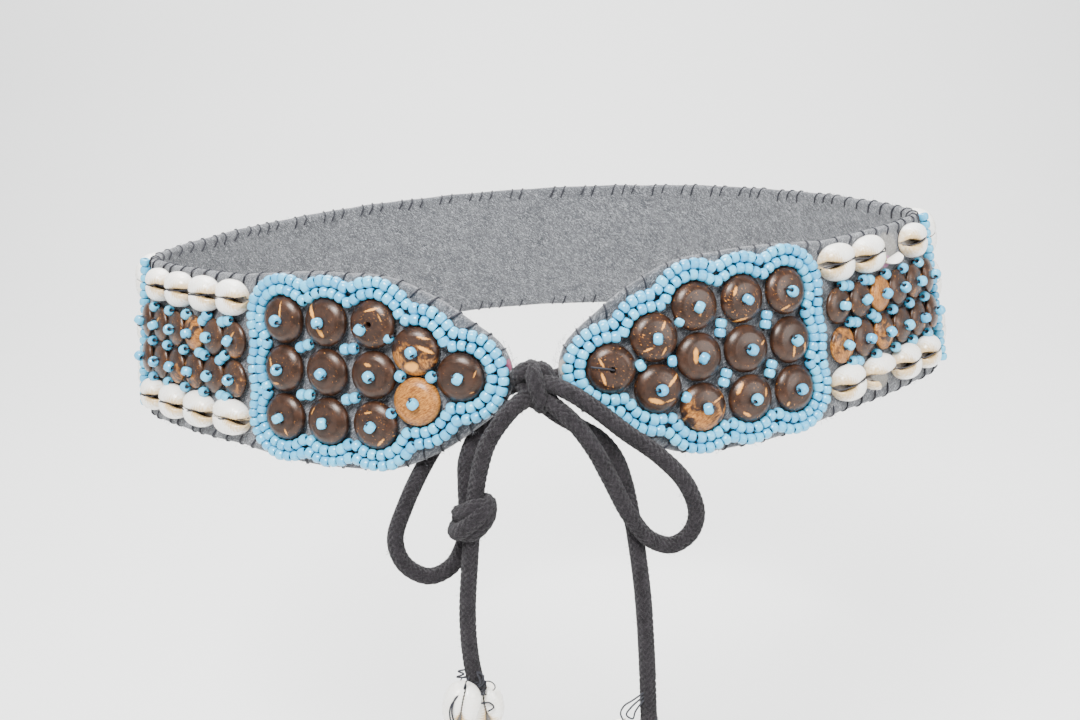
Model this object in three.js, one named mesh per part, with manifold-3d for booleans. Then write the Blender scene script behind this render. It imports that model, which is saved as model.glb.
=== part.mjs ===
// Beaded felt tie belt, closed round a waist and tied in front with a cord bow.
// Millimetres, +Z up, +X to the viewer's right, the front of the belt faces -Y.
// The origin is the middle of the waist ring, at half the height of the band.
import * as THREE from 'three';
import Module from 'manifold-3d';
import { mergeVertices } from 'three/addons/utils/BufferGeometryUtils.js';

const wasm = await Module();
wasm.setup();
const degree = Math.PI / 180;

// Clearances
const seatGap = 0.3;
const strandGap = 0.3;

// Waist ring, one half from the front to the back: a short front stretch, a flat panel arc,
// a tight side arc that starts sideLead before the last small disc ends, and a back arc that
// closes on the middle plane
const frontReach = 9.3;
const frontTurn = 6.5 * degree;
const panelRadius = 221;
const sideRadius = 26;
const sideLead = 11;
const sideEnd = 109 * degree;
const flare = 9.3 * degree;

// Felt band
const feltThickness = 3;
const feltBevel = 0.9;
const bandHalfHeight = 30.3;
const tipMargin = 0.6;
const panelMargin = 0.7;

// Large coconut discs, twelve to a panel
const discDiameter = 16;
const discHeight = 5;
const discEdgeHeight = 1.9;
const discEdgeUndercut = 1.6;
const discCrown = { reach: 0.66, height: 0.88 };
const threadHole = 1.8;
const rowGap = 0.6;
const columnGap = 1.2;
const slantGap = 0.8;

// Seed beads: the borders and the upright lines
const seedDiameter = 3.9;
const borderGap = 0.6;
const borderRows = 2;
const tipHalfGap = 7.3;

// Small coconut discs, overlapping in a row
const smallDiameter = 13;
const smallHeight = 3.3;
const smallEdgeHeight = 1.2;
const smallEdgeUndercut = 0.9;
const smallCrown = { reach: 0.6, height: 0.9 };
const smallOverlap = 2.1;
const smallCount = 6;
const smallRowGap = 0.8;
const smallRowsLift = 0.6;
const fieldGap = 0.7;

// Cowrie shells
const cowrieLength = 15.2;
const cowrieWidth = 13;
const cowrieHeight = 6.4;
const tailShellWidth = 11.2;
const topBeadGap = 1.8;
const bottomBeadGap = 0.8;
const columnShellLength = 21;
const columnShellWidth = 19.6;
const columnShellHeight = 8;
const columnShells = 3;
const columnOverlap = 0.4;
const lineGap = 0.5;

// Cord
const cordDiameter = 5.4;
const cordSides = 8;
const cordStep = 11;

// Facets
const discSides = 12;
const smallSides = 10;
const lineSides = 10;
const backStep = 17;
const bandStep = 9;
const sideStep = 4.8;
const borderStep = 30 * degree;
const tipAngles = [172, 160, 147, 134];

// Felt outline past the rounded tip: along is a share of the way from the tip disc's centre to the
// panel's outer side, up is a share of the panel's half height
const feltOutline = [
  { along: 0.00, up: 0.62 },
  { along: 0.12, up: 0.79 },
  { along: 0.25, up: 0.925 },
  { along: 0.40, up: 0.99 },
  { along: 0.50, up: 1.00 },
  { along: 0.62, up: 1.00 },
  { along: 0.75, up: 0.99 },
  { along: 0.88, up: 0.965 },
  { along: 1.00, up: 0.935 },
];

// Row shells, from the panel outwards: each length is a share of cowrieLength, and a short shell
// is narrower by narrowing times what its length lacks
const narrowing = 0.4;
const shellRows = {
  left_top: [{ length: 0.92 }, { length: 0.96 }, { length: 0.96 }, { length: 0.86 }],
  left_bottom: [{ length: 1.12 }, { length: 1.06 }, { length: 1.00 }, { length: 0.86 }],
  right_top: [{ length: 1.02 }, { length: 1.06 }, { length: 0.84, missing: true }, { length: 0.92 }],
  right_bottom: [{ length: 1.00 }, { length: 1.04, broken: true }, { length: 1.00 }, { length: 0.88 }],
};

// Sections of a shell: at is a share of half the length, wide and high are shares of its width and height
const shellSections = [
  { at: -0.90, wide: 0.52, high: 0.50 },
  { at: -0.60, wide: 0.87, high: 0.84 },
  { at: -0.15, wide: 1.00, high: 1.00 },
  { at: 0.35, wide: 0.93, high: 0.96 },
  { at: 0.72, wide: 0.68, high: 0.74 },
  { at: 0.94, wide: 0.36, high: 0.42 },
];
// The outline of each section: across is a share of its half width, up a share of its height
const shellProfile = [
  { across: -1.00, up: 0.10 },
  { across: -0.82, up: 0.72 },
  { across: -0.42, up: 1.00 },
  { across: -0.10, up: 0.88 },
  { across: 0.00, up: 0.60 },
  { across: 0.10, up: 0.88 },
  { across: 0.42, up: 1.00 },
  { across: 0.82, up: 0.72 },
  { across: 1.00, up: 0.10 },
];
const shellEndHeight = 0.2;
// What the broken shell has lost: the lower lip, from near its first end on, in shares of its size
const lostLip = { from: -0.38, upTo: -0.03 };

// Bead border across its width: along is a share of the width, up a share of the bead's diameter
const borderProfile = [
  { along: 0.00, up: 0.00 },
  { along: 0.20, up: 0.95 },
  { along: 0.50, up: 0.72 },
  { along: 0.80, up: 0.95 },
  { along: 1.00, up: 0.00 },
];

// Cord routes, chosen by hand: x to the right, out in front of the band's front middle, z up
const routes = {
  loop_left: [
    [-4.0, -5.2, -4.0], [-13.5, -6.6, -8.2], [-24.0, -7.2, -14.6], [-32.6, -7.4, -22.6],
    [-38.8, -5.4, -30.8], [-45.8, 2.4, -42.4], [-49.6, 7.2, -52.6], [-46.9, 8.8, -60.9],
    [-39.4, 9.0, -65.4], [-32.0, 8.0, -62.8], [-27.2, 6.2, -55.4], [-25.6, 5.0, -46.0],
    [-25.2, 3.6, -36.4], [-24.6, 0.0, -28.4], [-20.6, -3.6, -21.0], [-12.4, -4.4, -15.4], [-4.4, -2.0, -9.6],
  ],
  tail_left_upper: [
    [-2.0, 4.6, -5.0], [-6.6, 7.8, -7.4], [-12.0, 10.2, -12.4], [-16.6, 11.2, -19.0],
    [-19.6, 12.2, -27.4], [-21.6, 12.8, -36.0], [-22.6, 13.4, -42.0],
  ],
  tail_left_lower: [
    [-22.8, 13.6, -42.4], [-24.2, 13.8, -52.4], [-25.6, 14.6, -63.0], [-27.0, 16.0, -76.0],
    [-27.2, 17.2, -88.0], [-26.5, 18.0, -97.0], [-25.2, 18.2, -103.5],
  ],
  loop_right: [
    [3.0, 4.6, -1.6], [9.6, 8.2, -3.6], [17.0, 10.6, -8.2], [27.1, 12.2, -16.8], [37.7, 13.0, -25.4],
    [45.6, 13.2, -35.0], [48.9, 13.2, -45.6], [46.5, 13.2, -52.9], [40.6, 13.6, -56.3], [33.6, 14.2, -53.4],
    [27.4, 14.6, -44.6], [22.0, 14.2, -32.4], [17.2, 13.4, -22.0], [11.4, 11.0, -13.6], [4.6, 6.6, -8.0],
  ],
  tail_right: [
    [0.4, 1.0, -8.4], [5.6, 1.8, -13.2], [12.2, 3.4, -17.2], [19.2, 5.0, -21.6], [24.0, 5.8, -28.2],
    [26.8, 6.6, -37.6], [28.6, 8.0, -49.2], [29.8, 11.6, -60.4], [30.7, 15.4, -74.4], [31.0, 18.4, -95.0],
    [30.8, 20.4, -121.0],
  ],
};
const leadRoutes = {
  left: [
    [-1.0, 0.2, -2.6], [-4.8, -3.6, -2.4], [-9.0, -5.7, -2.0],
    [-13.0, -6.4, -1.4], [-19.0, -7.2, -0.6], [-27.0, -8.7, 0.0],
  ],
  right: [
    [1.0, 0.2, -3.4], [4.8, -3.6, -3.2], [9.0, -5.7, -2.8],
    [13.0, -6.4, -2.2], [19.0, -7.2, -1.4], [27.0, -8.7, -0.6],
  ],
};
// Wraps of the two knots, as short bent strands
const bowWraps = [
  [[-3.4, 2.4, 0.6], [-1.6, 4.6, 1.2], [1.0, 5.2, -2.6], [1.6, 4.2, -7.4], [0.6, 1.2, -8.6]],
  [[-4.6, 0.4, -4.4], [-1.8, 3.2, -6.6], [2.4, 3.4, -5.2], [5.0, 1.6, -1.8], [2.6, -1.2, 0.2]],
];
const bowCore = { at: [0.3, 1.0, -3.8], size: [5.2, 4.2, 5.4] };
const stopperWraps = [
  [
    [-28.2, 13.0, -44.6], [-26.6, 16.4, -47.4], [-22.6, 17.2, -44.2],
    [-18.4, 16.2, -39.8], [-17.2, 13.0, -37.8],
  ],
  [
    [-17.6, 12.2, -40.8], [-19.2, 15.0, -36.8], [-23.6, 15.2, -38.2],
    [-27.4, 13.4, -42.2], [-27.6, 12.2, -45.2],
  ],
];
const stopperCore = { at: [-22.8, 13.4, -42.4], size: [5.0, 3.9, 5.0] };
// Shells at the ends of the tails: where the middle is, how far the long side leans from upright,
// how far the slit turns from the front, and the length as a share of cowrieLength
const tailShells = {
  tail_cowrie_left_a: { at: [-31.0, 21.4, -106.0], lean: 14, turn: 0, length: 1.12 },
  tail_cowrie_left_b: { at: [-23.4, 13.4, -111.6], lean: -8, turn: 0, length: 1.06 },
  tail_cowrie_right: { at: [21.5, 20.2, -124.4], lean: 9, turn: -10, length: 1.12 },
};

// Sizes that follow
const rowPitch = discDiameter + rowGap;
const columnPitch = discDiameter + columnGap;
const slantStep = Math.sqrt((discDiameter + slantGap) ** 2 - (rowPitch / 2) ** 2);
const borderInner = discDiameter / 2 + borderGap;
const borderOuter = borderInner + borderRows * seedDiameter - borderGap;
const tipDiscAt = tipHalfGap + tipMargin + borderOuter;
const columnsAt = [0, 1, 2].map((k) => tipDiscAt + k * slantStep);
columnsAt.push(columnsAt[2] + columnPitch, columnsAt[2] + 2 * columnPitch);
const panelSide = columnsAt[4] + borderOuter;
const panelHalfHeight = rowPitch + borderOuter + panelMargin;
const outerFace = feltThickness / 2;
const seat = outerFace + seatGap;
const fieldStart = panelSide + fieldGap;
const smallPitch = smallDiameter - smallOverlap;
const fieldEnd = fieldStart + smallDiameter + (smallCount - 1) * smallPitch;
const panelArc = fieldEnd - sideLead - frontReach;
const smallRowRise = (smallDiameter + smallRowGap) / 2;
const lineAt = fieldEnd + lineGap + seedDiameter / 2;
const columnAt = lineAt + seedDiameter / 2 + lineGap + columnShellLength / 2;
const rowHeights = {
  top: smallRowsLift + smallRowRise + smallDiameter / 2 + topBeadGap + cowrieWidth / 2,
  bottom: smallRowsLift - smallRowRise - smallDiameter / 2 - bottomBeadGap - cowrieWidth / 2,
};
const panelTurn = frontTurn + panelArc / panelRadius;
const sides = { left: -1, right: 1 };

// Waist ring: the centre line at a distance s from the front, as x, y and the way it heads
function arcEnd(start, radius, turn) {
  const end = start.turn + turn;
  return {
    x: start.x + radius * (Math.sin(end) - Math.sin(start.turn)),
    y: start.y + radius * (Math.cos(start.turn) - Math.cos(end)),
    turn: end,
  };
}

const frontStart = { x: 0, y: 0, turn: 0 };
const panelStart = arcEnd(frontStart, frontReach / frontTurn, frontTurn);
const sideStart = arcEnd(panelStart, panelRadius, panelTurn - frontTurn);
const backStart = arcEnd(sideStart, sideRadius, sideEnd - panelTurn);
const backRadius = backStart.x / Math.sin(sideEnd);
const backMiddle = arcEnd(backStart, backRadius, Math.PI - sideEnd);
const ringStretches = [
  { start: frontStart, radius: frontReach / frontTurn, length: frontReach },
  { start: panelStart, radius: panelRadius, length: panelArc },
  { start: sideStart, radius: sideRadius, length: sideRadius * (sideEnd - panelTurn) },
  { start: backStart, radius: backRadius, length: backRadius * (Math.PI - sideEnd) },
];
const halfLength = ringStretches.reduce((sum, stretch) => sum + stretch.length, 0);
const frontY = -backMiddle.y / 2;

function ringPoint(distance) {
  let rest = Math.min(Math.abs(distance), halfLength);
  let stretch = ringStretches[0];
  for (const next of ringStretches) {
    stretch = next;
    if (rest <= next.length) break;
    if (next !== ringStretches[ringStretches.length - 1]) rest -= next.length;
  }
  const end = arcEnd(stretch.start, stretch.radius, rest / stretch.radius);
  return { x: end.x, y: end.y + frontY, turn: end.turn };
}

// Directions of the band at s: along it, up it and out of it
function bandAxes(s) {
  const { turn } = ringPoint(s);
  const hand = s < 0 ? -1 : 1;
  const level = new THREE.Vector3(hand * Math.sin(turn), -Math.cos(turn), 0);
  const up = new THREE.Vector3(0, 0, 1);
  return {
    along: new THREE.Vector3(Math.cos(turn), hand * Math.sin(turn), 0),
    upward: up.clone().multiplyScalar(Math.cos(flare)).addScaledVector(level, -Math.sin(flare)),
    outward: level.clone().multiplyScalar(Math.cos(flare)).addScaledVector(up, Math.sin(flare)),
  };
}

// Belt place to space: s along the belt, h up it and t out of its middle surface
function onBelt(s, h, t) {
  const middle = ringPoint(s);
  const { upward, outward } = bandAxes(s);
  const place = new THREE.Vector3(s < 0 ? -middle.x : middle.x, middle.y, 0);
  return place.addScaledVector(upward, h).addScaledVector(outward, t);
}

function beltMatrix(s, h, t) {
  const { along, upward, outward } = bandAxes(s);
  return new THREE.Matrix4().makeBasis(along, upward, outward).setPosition(onBelt(s, h, t));
}

function frontPlace([x, out, z]) {
  return new THREE.Vector3(x, frontY - out, z);
}

// Closed bodies
function signedVolume(geometry) {
  const position = geometry.getAttribute('position');
  const corners = [0, 1, 2].map(() => new THREE.Vector3());
  const index = geometry.index.array;
  let total = 0;
  for (let k = 0; k < index.length; k += 3) {
    corners.forEach((corner, j) => corner.fromBufferAttribute(position, index[k + j]));
    total += corners[0].dot(corners[1].cross(corners[2]));
  }
  return total / 6;
}

function turnOut(geometry) {
  if (signedVolume(geometry) > 0) return geometry;
  const index = geometry.index.array;
  for (let k = 0; k < index.length; k += 3) [index[k], index[k + 1]] = [index[k + 1], index[k]];
  return geometry;
}

function merged(geometry) {
  const copy = geometry.clone();
  copy.deleteAttribute('normal');
  copy.deleteAttribute('uv');
  return turnOut(mergeVertices(copy, 1e-4));
}

function toSolid(geometry) {
  const body = merged(geometry);
  return new wasm.Manifold(new wasm.Mesh({
    numProp: 3,
    vertProperties: new Float32Array(body.getAttribute('position').array),
    triVerts: new Uint32Array(body.index.array),
  }));
}

function toGeometry(solid) {
  const mesh = solid.getMesh();
  const geometry = new THREE.BufferGeometry();
  geometry.setAttribute('position', new THREE.BufferAttribute(new Float32Array(mesh.vertProperties), 3));
  geometry.setIndex(new THREE.BufferAttribute(new Uint32Array(mesh.triVerts), 1));
  return geometry;
}

function joined(geometries) {
  const solids = geometries.map(toSolid);
  return toGeometry(solids.slice(1).reduce((sum, solid) => sum.add(solid), solids[0]));
}

function cutBy(geometry, tools) {
  return toGeometry(tools.reduce((rest, tool) => rest.subtract(toSolid(tool)), toSolid(geometry)));
}

// Skin through rings of points: each ring is a closed outline with the same number of points
function loft(rings, { ends = 'flat', tips = [] } = {}) {
  const size = rings[0].length;
  const points = rings.flat().concat(tips);
  const faces = [];
  const last = ends === 'joined' ? rings.length : rings.length - 1;
  for (let i = 0; i < last; i += 1) {
    const here = i * size;
    const next = ((i + 1) % rings.length) * size;
    for (let j = 0; j < size; j += 1) {
      const turn = (j + 1) % size;
      faces.push(here + j, here + turn, next + turn, here + j, next + turn, next + j);
    }
  }
  const far = (rings.length - 1) * size;
  if (ends === 'flat') {
    for (let j = 1; j < size - 1; j += 1) {
      faces.push(0, j + 1, j, far, far + j, far + j + 1);
    }
  }
  if (ends === 'pointed') {
    const tip = rings.length * size;
    for (let j = 0; j < size; j += 1) {
      const turn = (j + 1) % size;
      faces.push(tip, turn, j, tip + 1, far + j, far + turn);
    }
  }
  const geometry = new THREE.BufferGeometry().setFromPoints(points);
  geometry.setIndex(faces);
  return turnOut(geometry);
}

function turned(profile, count) {
  const outline = profile.map(([radius, height]) => new THREE.Vector2(radius, height));
  return merged(new THREE.LatheGeometry(outline, count).rotateX(Math.PI / 2));
}

function roundShape(radius, count) {
  const corners = Array.from({ length: count }, (_, k) => {
    const angle = (2 * Math.PI * k) / count;
    return new THREE.Vector2(radius * Math.cos(angle), radius * Math.sin(angle));
  });
  return new THREE.Shape(corners);
}

function strand(points, radius, step = cordStep) {
  const path = new THREE.CatmullRomCurve3(points, false, 'centripetal');
  const steps = Math.max(2, Math.round(path.getLength() / step));
  const options = { steps, bevelEnabled: false, extrudePath: path };
  return merged(new THREE.ExtrudeGeometry(roundShape(radius, cordSides), options));
}

// Materials
function matte(color, roughness = 0.9) {
  return new THREE.MeshStandardMaterial({ color, roughness, metalness: 0 });
}

const felt = matte(0x6f7174, 0.95);
const coconut = matte(0x4b3229, 0.55);
const coconutSmall = matte(0x5c3b2a, 0.55);
const shell = matte(0xf3eee2, 0.35);
const seeds = matte(0x86c6e6, 0.35);
const cotton = matte(0x37333a, 0.95);

const belt = new THREE.Group();
belt.name = 'beaded_belt';

function addPiece(name, geometry, material, matrix = null) {
  const mesh = new THREE.Mesh(geometry, material);
  mesh.name = name;
  if (matrix) matrix.decompose(mesh.position, mesh.quaternion, mesh.scale);
  belt.add(mesh);
}

// Felt band: a ring of sections from the right tip round the back to the left tip
function halfHeights() {
  const reach = panelSide - tipDiscAt;
  const tipRadius = tipDiscAt - tipHalfGap;
  const stations = tipAngles.map((angle) => ({
    s: tipDiscAt + tipRadius * Math.cos(angle * degree),
    half: tipRadius * Math.sin(angle * degree),
  }));
  feltOutline.forEach(({ along, up }) => {
    stations.push({ s: tipDiscAt + reach * along, half: panelHalfHeight * up });
  });
  const plain = (from, to, step) => {
    const count = Math.ceil((to - from) / step);
    for (let k = 1; k <= count; k += 1) {
      stations.push({ s: from + ((to - from) * k) / count, half: bandHalfHeight });
    }
  };
  const sideFrom = frontReach + panelArc;
  const backFrom = sideFrom + ringStretches[2].length;
  plain(panelSide + bandStep / 2, sideFrom, bandStep);
  plain(sideFrom, backFrom, sideStep);
  plain(backFrom, halfLength, backStep);
  return stations;
}

function feltSection(s, half) {
  const outline = [
    [half - feltBevel, outerFace], [feltBevel - half, outerFace], [-half, 0],
    [feltBevel - half, -outerFace], [half - feltBevel, -outerFace], [half, 0],
  ];
  return outline.map(([h, t]) => onBelt(s, h, t));
}

const stations = halfHeights();
const rightHalf = stations.map(({ s, half }) => feltSection(s, half));
const leftHalf = stations.slice(0, -1).map(({ s, half }) => feltSection(-s, half)).reverse();
addPiece('felt_band', loft([...rightHalf, ...leftHalf]), felt);

// Large discs, numbered from the tip outwards and from the top down in each column
const largeDisc = turned([
  [threadHole / 2, 0],
  [discDiameter / 2 - discEdgeUndercut, 0],
  [discDiameter / 2, discEdgeHeight],
  [(discDiameter / 2) * discCrown.reach, discHeight * discCrown.height],
  [threadHole / 2, discHeight],
  [threadHole / 2, 0],
], discSides);
const discRows = [[0], [0.5, -0.5], [1, 0, -1], [1, 0, -1], [1, 0, -1]];
const discColumns = discRows.map((rows, column) => rows.map((row) => (
  { s: columnsAt[column], h: row * rowPitch }
)));
const discPlaces = discColumns.flat();

for (const [side, hand] of Object.entries(sides)) {
  discPlaces.forEach(({ s, h }, k) => {
    const name = `coco_disc_${side}_${String(k + 1).padStart(2, '0')}`;
    addPiece(name, largeDisc, coconut, beltMatrix(hand * s, h, seat));
  });
}

// Seed bead borders: a double row that follows the discs round the panel, clockwise from the tip
const upperRim = discColumns.map((column) => column[0]);
const lowerRim = discColumns.slice(1).map((column) => column[column.length - 1]);
const outerRim = discColumns[discColumns.length - 1].slice(1, -1);
const rim = [...upperRim, ...outerRim, ...lowerRim.reverse()];

function notchBetween(from, to) {
  const across = { s: (to.s - from.s) / 2, h: (to.h - from.h) / 2 };
  const half = Math.hypot(across.s, across.h);
  const out = { s: -across.h / half, h: across.s / half };
  const at = (reach) => ({ s: from.s + across.s + out.s * reach, h: from.h + across.h + out.h * reach });
  const slope = Math.sqrt(borderOuter ** 2 - half ** 2) / borderOuter;
  const outer = Math.abs(across.s) < 1e-6 ? at(borderOuter) : at(borderOuter * slope);
  return { inner: at(borderInner * slope), outer };
}

function borderStops() {
  const notches = rim.map((disc, k) => notchBetween(disc, rim[(k + 1) % rim.length]));
  return rim.flatMap((disc, k) => {
    const before = notches[(k + rim.length - 1) % rim.length];
    const after = notches[k];
    const start = Math.atan2(before.outer.h - disc.h, before.outer.s - disc.s);
    const end = Math.atan2(after.outer.h - disc.h, after.outer.s - disc.s);
    const sweep = (start - end + 2 * Math.PI) % (2 * Math.PI);
    const parts = Math.max(2, Math.round(sweep / borderStep));
    const stops = [before];
    for (let j = 1; j < parts; j += 1) {
      const angle = start - (sweep * j) / parts;
      const at = (reach) => ({ s: disc.s + reach * Math.cos(angle), h: disc.h + reach * Math.sin(angle) });
      stops.push({ inner: at(borderInner), outer: at(borderOuter) });
    }
    return stops;
  });
}

function borderRing(hand) {
  return borderStops().map(({ inner, outer }) => borderProfile.map(({ along, up }) => {
    const s = inner.s + (outer.s - inner.s) * along;
    const h = inner.h + (outer.h - inner.h) * along;
    return onBelt(hand * s, h, seat + seedDiameter * up);
  }));
}

for (const [side, hand] of Object.entries(sides)) {
  addPiece(`bead_border_${side}`, loft(borderRing(hand), { ends: 'joined' }), seeds);
}

// Small discs: each row is a string of overlapping discs
const smallDisc = turned([
  [0, 0],
  [smallDiameter / 2 - smallEdgeUndercut, 0],
  [smallDiameter / 2, smallEdgeHeight],
  [(smallDiameter / 2) * smallCrown.reach, smallHeight * smallCrown.height],
  [0, smallHeight],
], smallSides);

function smallRow(hand, h) {
  const first = fieldStart + smallDiameter / 2;
  const places = Array.from({ length: smallCount }, (_, k) => hand * (first + k * smallPitch));
  return joined(places.map((s) => smallDisc.clone().applyMatrix4(beltMatrix(s, h, seat))));
}

for (const [side, hand] of Object.entries(sides)) {
  addPiece(`small_disc_row_${side}_top`, smallRow(hand, smallRowsLift + smallRowRise), coconutSmall);
  addPiece(`small_disc_row_${side}_bottom`, smallRow(hand, smallRowsLift - smallRowRise), coconutSmall);
}

// Cowries: slit side up, long side along X
function cowrie(length, width, height) {
  const rings = shellSections.map(({ at, wide, high }) => shellProfile.map(({ across, up }) => (
    new THREE.Vector3((at * length) / 2, (across * wide * width) / 2, up * high * height)
  )));
  rings.forEach((ring) => ring.forEach((point, k) => {
    if (k === 0 || k === shellProfile.length - 1) point.z = 0;
  }));
  const tips = [-1, 1].map((end) => new THREE.Vector3((end * length) / 2, 0, shellEndHeight * height));
  return loft(rings, { ends: 'pointed', tips });
}

function brokenCowrie(length, width, height) {
  const lost = new THREE.BoxGeometry(length, width, 3 * height);
  lost.translate(length * (lostLip.from + 0.5), width * (lostLip.upTo - 0.5), 0);
  return cutBy(cowrie(length, width, height), [lost]);
}

for (const [row, shells] of Object.entries(shellRows)) {
  const [side, level] = row.split('_');
  let from = fieldStart;
  shells.forEach(({ length, missing, broken }, k) => {
    const size = cowrieLength * length;
    const width = cowrieWidth * (1 - narrowing * Math.max(0, 1 - length));
    const make = broken ? brokenCowrie : cowrie;
    const place = beltMatrix(sides[side] * (from + size / 2), rowHeights[level], seat);
    if (!missing) addPiece(`cowrie_${row}_${k + 1}`, make(size, width, cowrieHeight), shell, place);
    from += size + strandGap;
  });
}

function shellColumn(hand) {
  const pitch = columnShellWidth - columnOverlap;
  const heights = Array.from({ length: columnShells }, (_, k) => (k - (columnShells - 1) / 2) * pitch);
  const one = cowrie(columnShellLength, columnShellWidth, columnShellHeight);
  return joined(heights.map((h) => one.clone().applyMatrix4(beltMatrix(hand * columnAt, h, seat))));
}

for (const [side, hand] of Object.entries(sides)) {
  addPiece(`cowrie_column_${side}`, shellColumn(hand), shell);
}

// Upright seed bead lines between the small discs and the cowrie columns
const lineLength = 2 * (bandHalfHeight - feltBevel);
const lineRod = new THREE.CylinderGeometry(seedDiameter / 2, seedDiameter / 2, lineLength, lineSides);

for (const [side, hand] of Object.entries(sides)) {
  const place = beltMatrix(hand * lineAt, 0, seat + seedDiameter / 2);
  addPiece(`seed_line_${side}`, merged(lineRod), seeds, place);
}

// Knots, grown by a margin when they are used to trim the cord ends
function lump({ at, size }, margin) {
  const ball = new THREE.SphereGeometry(1, 10, 6);
  ball.scale(size[0] + margin, size[1] + margin, size[2] + margin);
  const place = frontPlace(at);
  return merged(ball.translate(place.x, place.y, place.z));
}

function lengthened(points, margin) {
  const pushed = (end, next) => end.clone().add(end.clone().sub(next).setLength(margin));
  const last = points.length - 1;
  return [pushed(points[0], points[1]), ...points.slice(1, last), pushed(points[last], points[last - 1])];
}

function bends(lists, margin, step) {
  const radius = cordDiameter / 2 + margin;
  return lists.map((list) => strand(lengthened(list.map(frontPlace), margin), radius, step));
}

function bowKnot(margin) {
  const leads = bends([leadRoutes.left, leadRoutes.right], margin, cordStep / 2);
  return joined([lump(bowCore, margin), ...bends(bowWraps, margin, cordStep / 3), ...leads]);
}

function stopperKnot(margin) {
  return joined([lump(stopperCore, margin), ...bends(stopperWraps, margin, cordStep / 3)]);
}

addPiece('bow_knot', bowKnot(0), cotton);
addPiece('stopper_knot', stopperKnot(0), cotton);

// Loops and tails, cut off where they enter a knot
const knotRoom = [bowKnot(strandGap), stopperKnot(strandGap)];
for (const [name, points] of Object.entries(routes)) {
  const tube = strand(points.map(frontPlace), cordDiameter / 2);
  addPiece(`tie_${name}`, cutBy(tube, name === 'loop_left' ? [knotRoom[0]] : knotRoom), cotton);
}

for (const [name, { at, lean, turn, length }] of Object.entries(tailShells)) {
  const upright = new THREE.Euler(0, lean * degree, turn * degree, 'ZYX');
  const facing = new THREE.Matrix4().makeBasis(
    new THREE.Vector3(0, 0, -1), new THREE.Vector3(1, 0, 0), new THREE.Vector3(0, -1, 0),
  );
  const place = new THREE.Matrix4().makeRotationFromEuler(upright).multiply(facing);
  place.setPosition(frontPlace(at));
  const size = cowrieLength * length;
  addPiece(name, cowrie(size, tailShellWidth * length, cowrieHeight), shell, place);
}

export default belt;
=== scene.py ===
# Grey felt tie belt with coconut discs, blue seed beads and cowrie shells, closed round a waist and
# tied in front with a cord bow. Shapes are worked out in millimetres and made metres once finished.
import math
import random

import bmesh
import bpy
from mathutils import Matrix, Quaternion, Vector, noise


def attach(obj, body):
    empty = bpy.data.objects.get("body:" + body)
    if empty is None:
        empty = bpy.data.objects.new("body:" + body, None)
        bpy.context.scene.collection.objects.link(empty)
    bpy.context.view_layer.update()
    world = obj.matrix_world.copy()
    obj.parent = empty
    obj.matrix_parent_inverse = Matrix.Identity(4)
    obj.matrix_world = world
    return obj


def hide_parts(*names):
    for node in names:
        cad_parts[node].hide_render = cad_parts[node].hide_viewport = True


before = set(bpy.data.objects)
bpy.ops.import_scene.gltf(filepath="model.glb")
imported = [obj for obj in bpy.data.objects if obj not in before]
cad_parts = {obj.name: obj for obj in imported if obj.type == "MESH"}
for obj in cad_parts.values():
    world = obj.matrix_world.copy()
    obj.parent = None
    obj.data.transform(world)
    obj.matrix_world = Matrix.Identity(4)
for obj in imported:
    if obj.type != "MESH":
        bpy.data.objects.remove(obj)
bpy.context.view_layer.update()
scene = bpy.context.scene
mm = 0.001

# Camera
# It stands close in front of the knot and a little above the belt, looking down at it and rolled by a
# few degrees, as the photograph was taken.
camera_place = Vector((7.75, -436.7, 110.9))
camera_yaw = math.radians(-1.05)
camera_tilt = math.radians(17.48)
camera_roll = math.radians(-3.55)
focal_length_to_width = 1.0264
sensor_width = 36

camera_data = bpy.data.cameras.new("camera")
camera_data.sensor_width = sensor_width
camera_data.lens = sensor_width * focal_length_to_width
camera_data.clip_start = 0.01
camera_turn = (
    Matrix.Rotation(-camera_yaw, 4, "Z")
    @ Matrix.Rotation(math.pi / 2 - camera_tilt, 4, "X")
    @ Matrix.Rotation(camera_roll, 4, "Z")
)
camera = bpy.data.objects.new("camera", camera_data)
camera.matrix_world = Matrix.Translation(camera_place * mm) @ camera_turn
scene.collection.objects.link(camera)
scene.camera = camera


# Studio
# A plain pale paper floor that sweeps up behind the belt. A broad soft light stands above in front,
# a weaker one to the right and one behind, a fourth lights the paper, and the surround is evenly pale.
class Value:
    """A socket of a finish. Sums on values add Math nodes."""

    def __init__(self, finish, socket):
        self.finish = finish
        self.socket = socket

    def math(self, operation, *others):
        return self.finish.node("Math", dict(enumerate((self, *others))), operation=operation)

    def __add__(self, other):
        return self.math("ADD", other)

    def __sub__(self, other):
        return self.math("SUBTRACT", other)

    def __mul__(self, other):
        return self.math("MULTIPLY", other)

    def __truediv__(self, other):
        return self.math("DIVIDE", other)

    def __pow__(self, other):
        return self.math("POWER", other)

    def __rsub__(self, other):
        return self.finish.node("Math", {0: other, 1: self}, operation="SUBTRACT")

    __radd__ = __add__
    __rmul__ = __mul__


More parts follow.
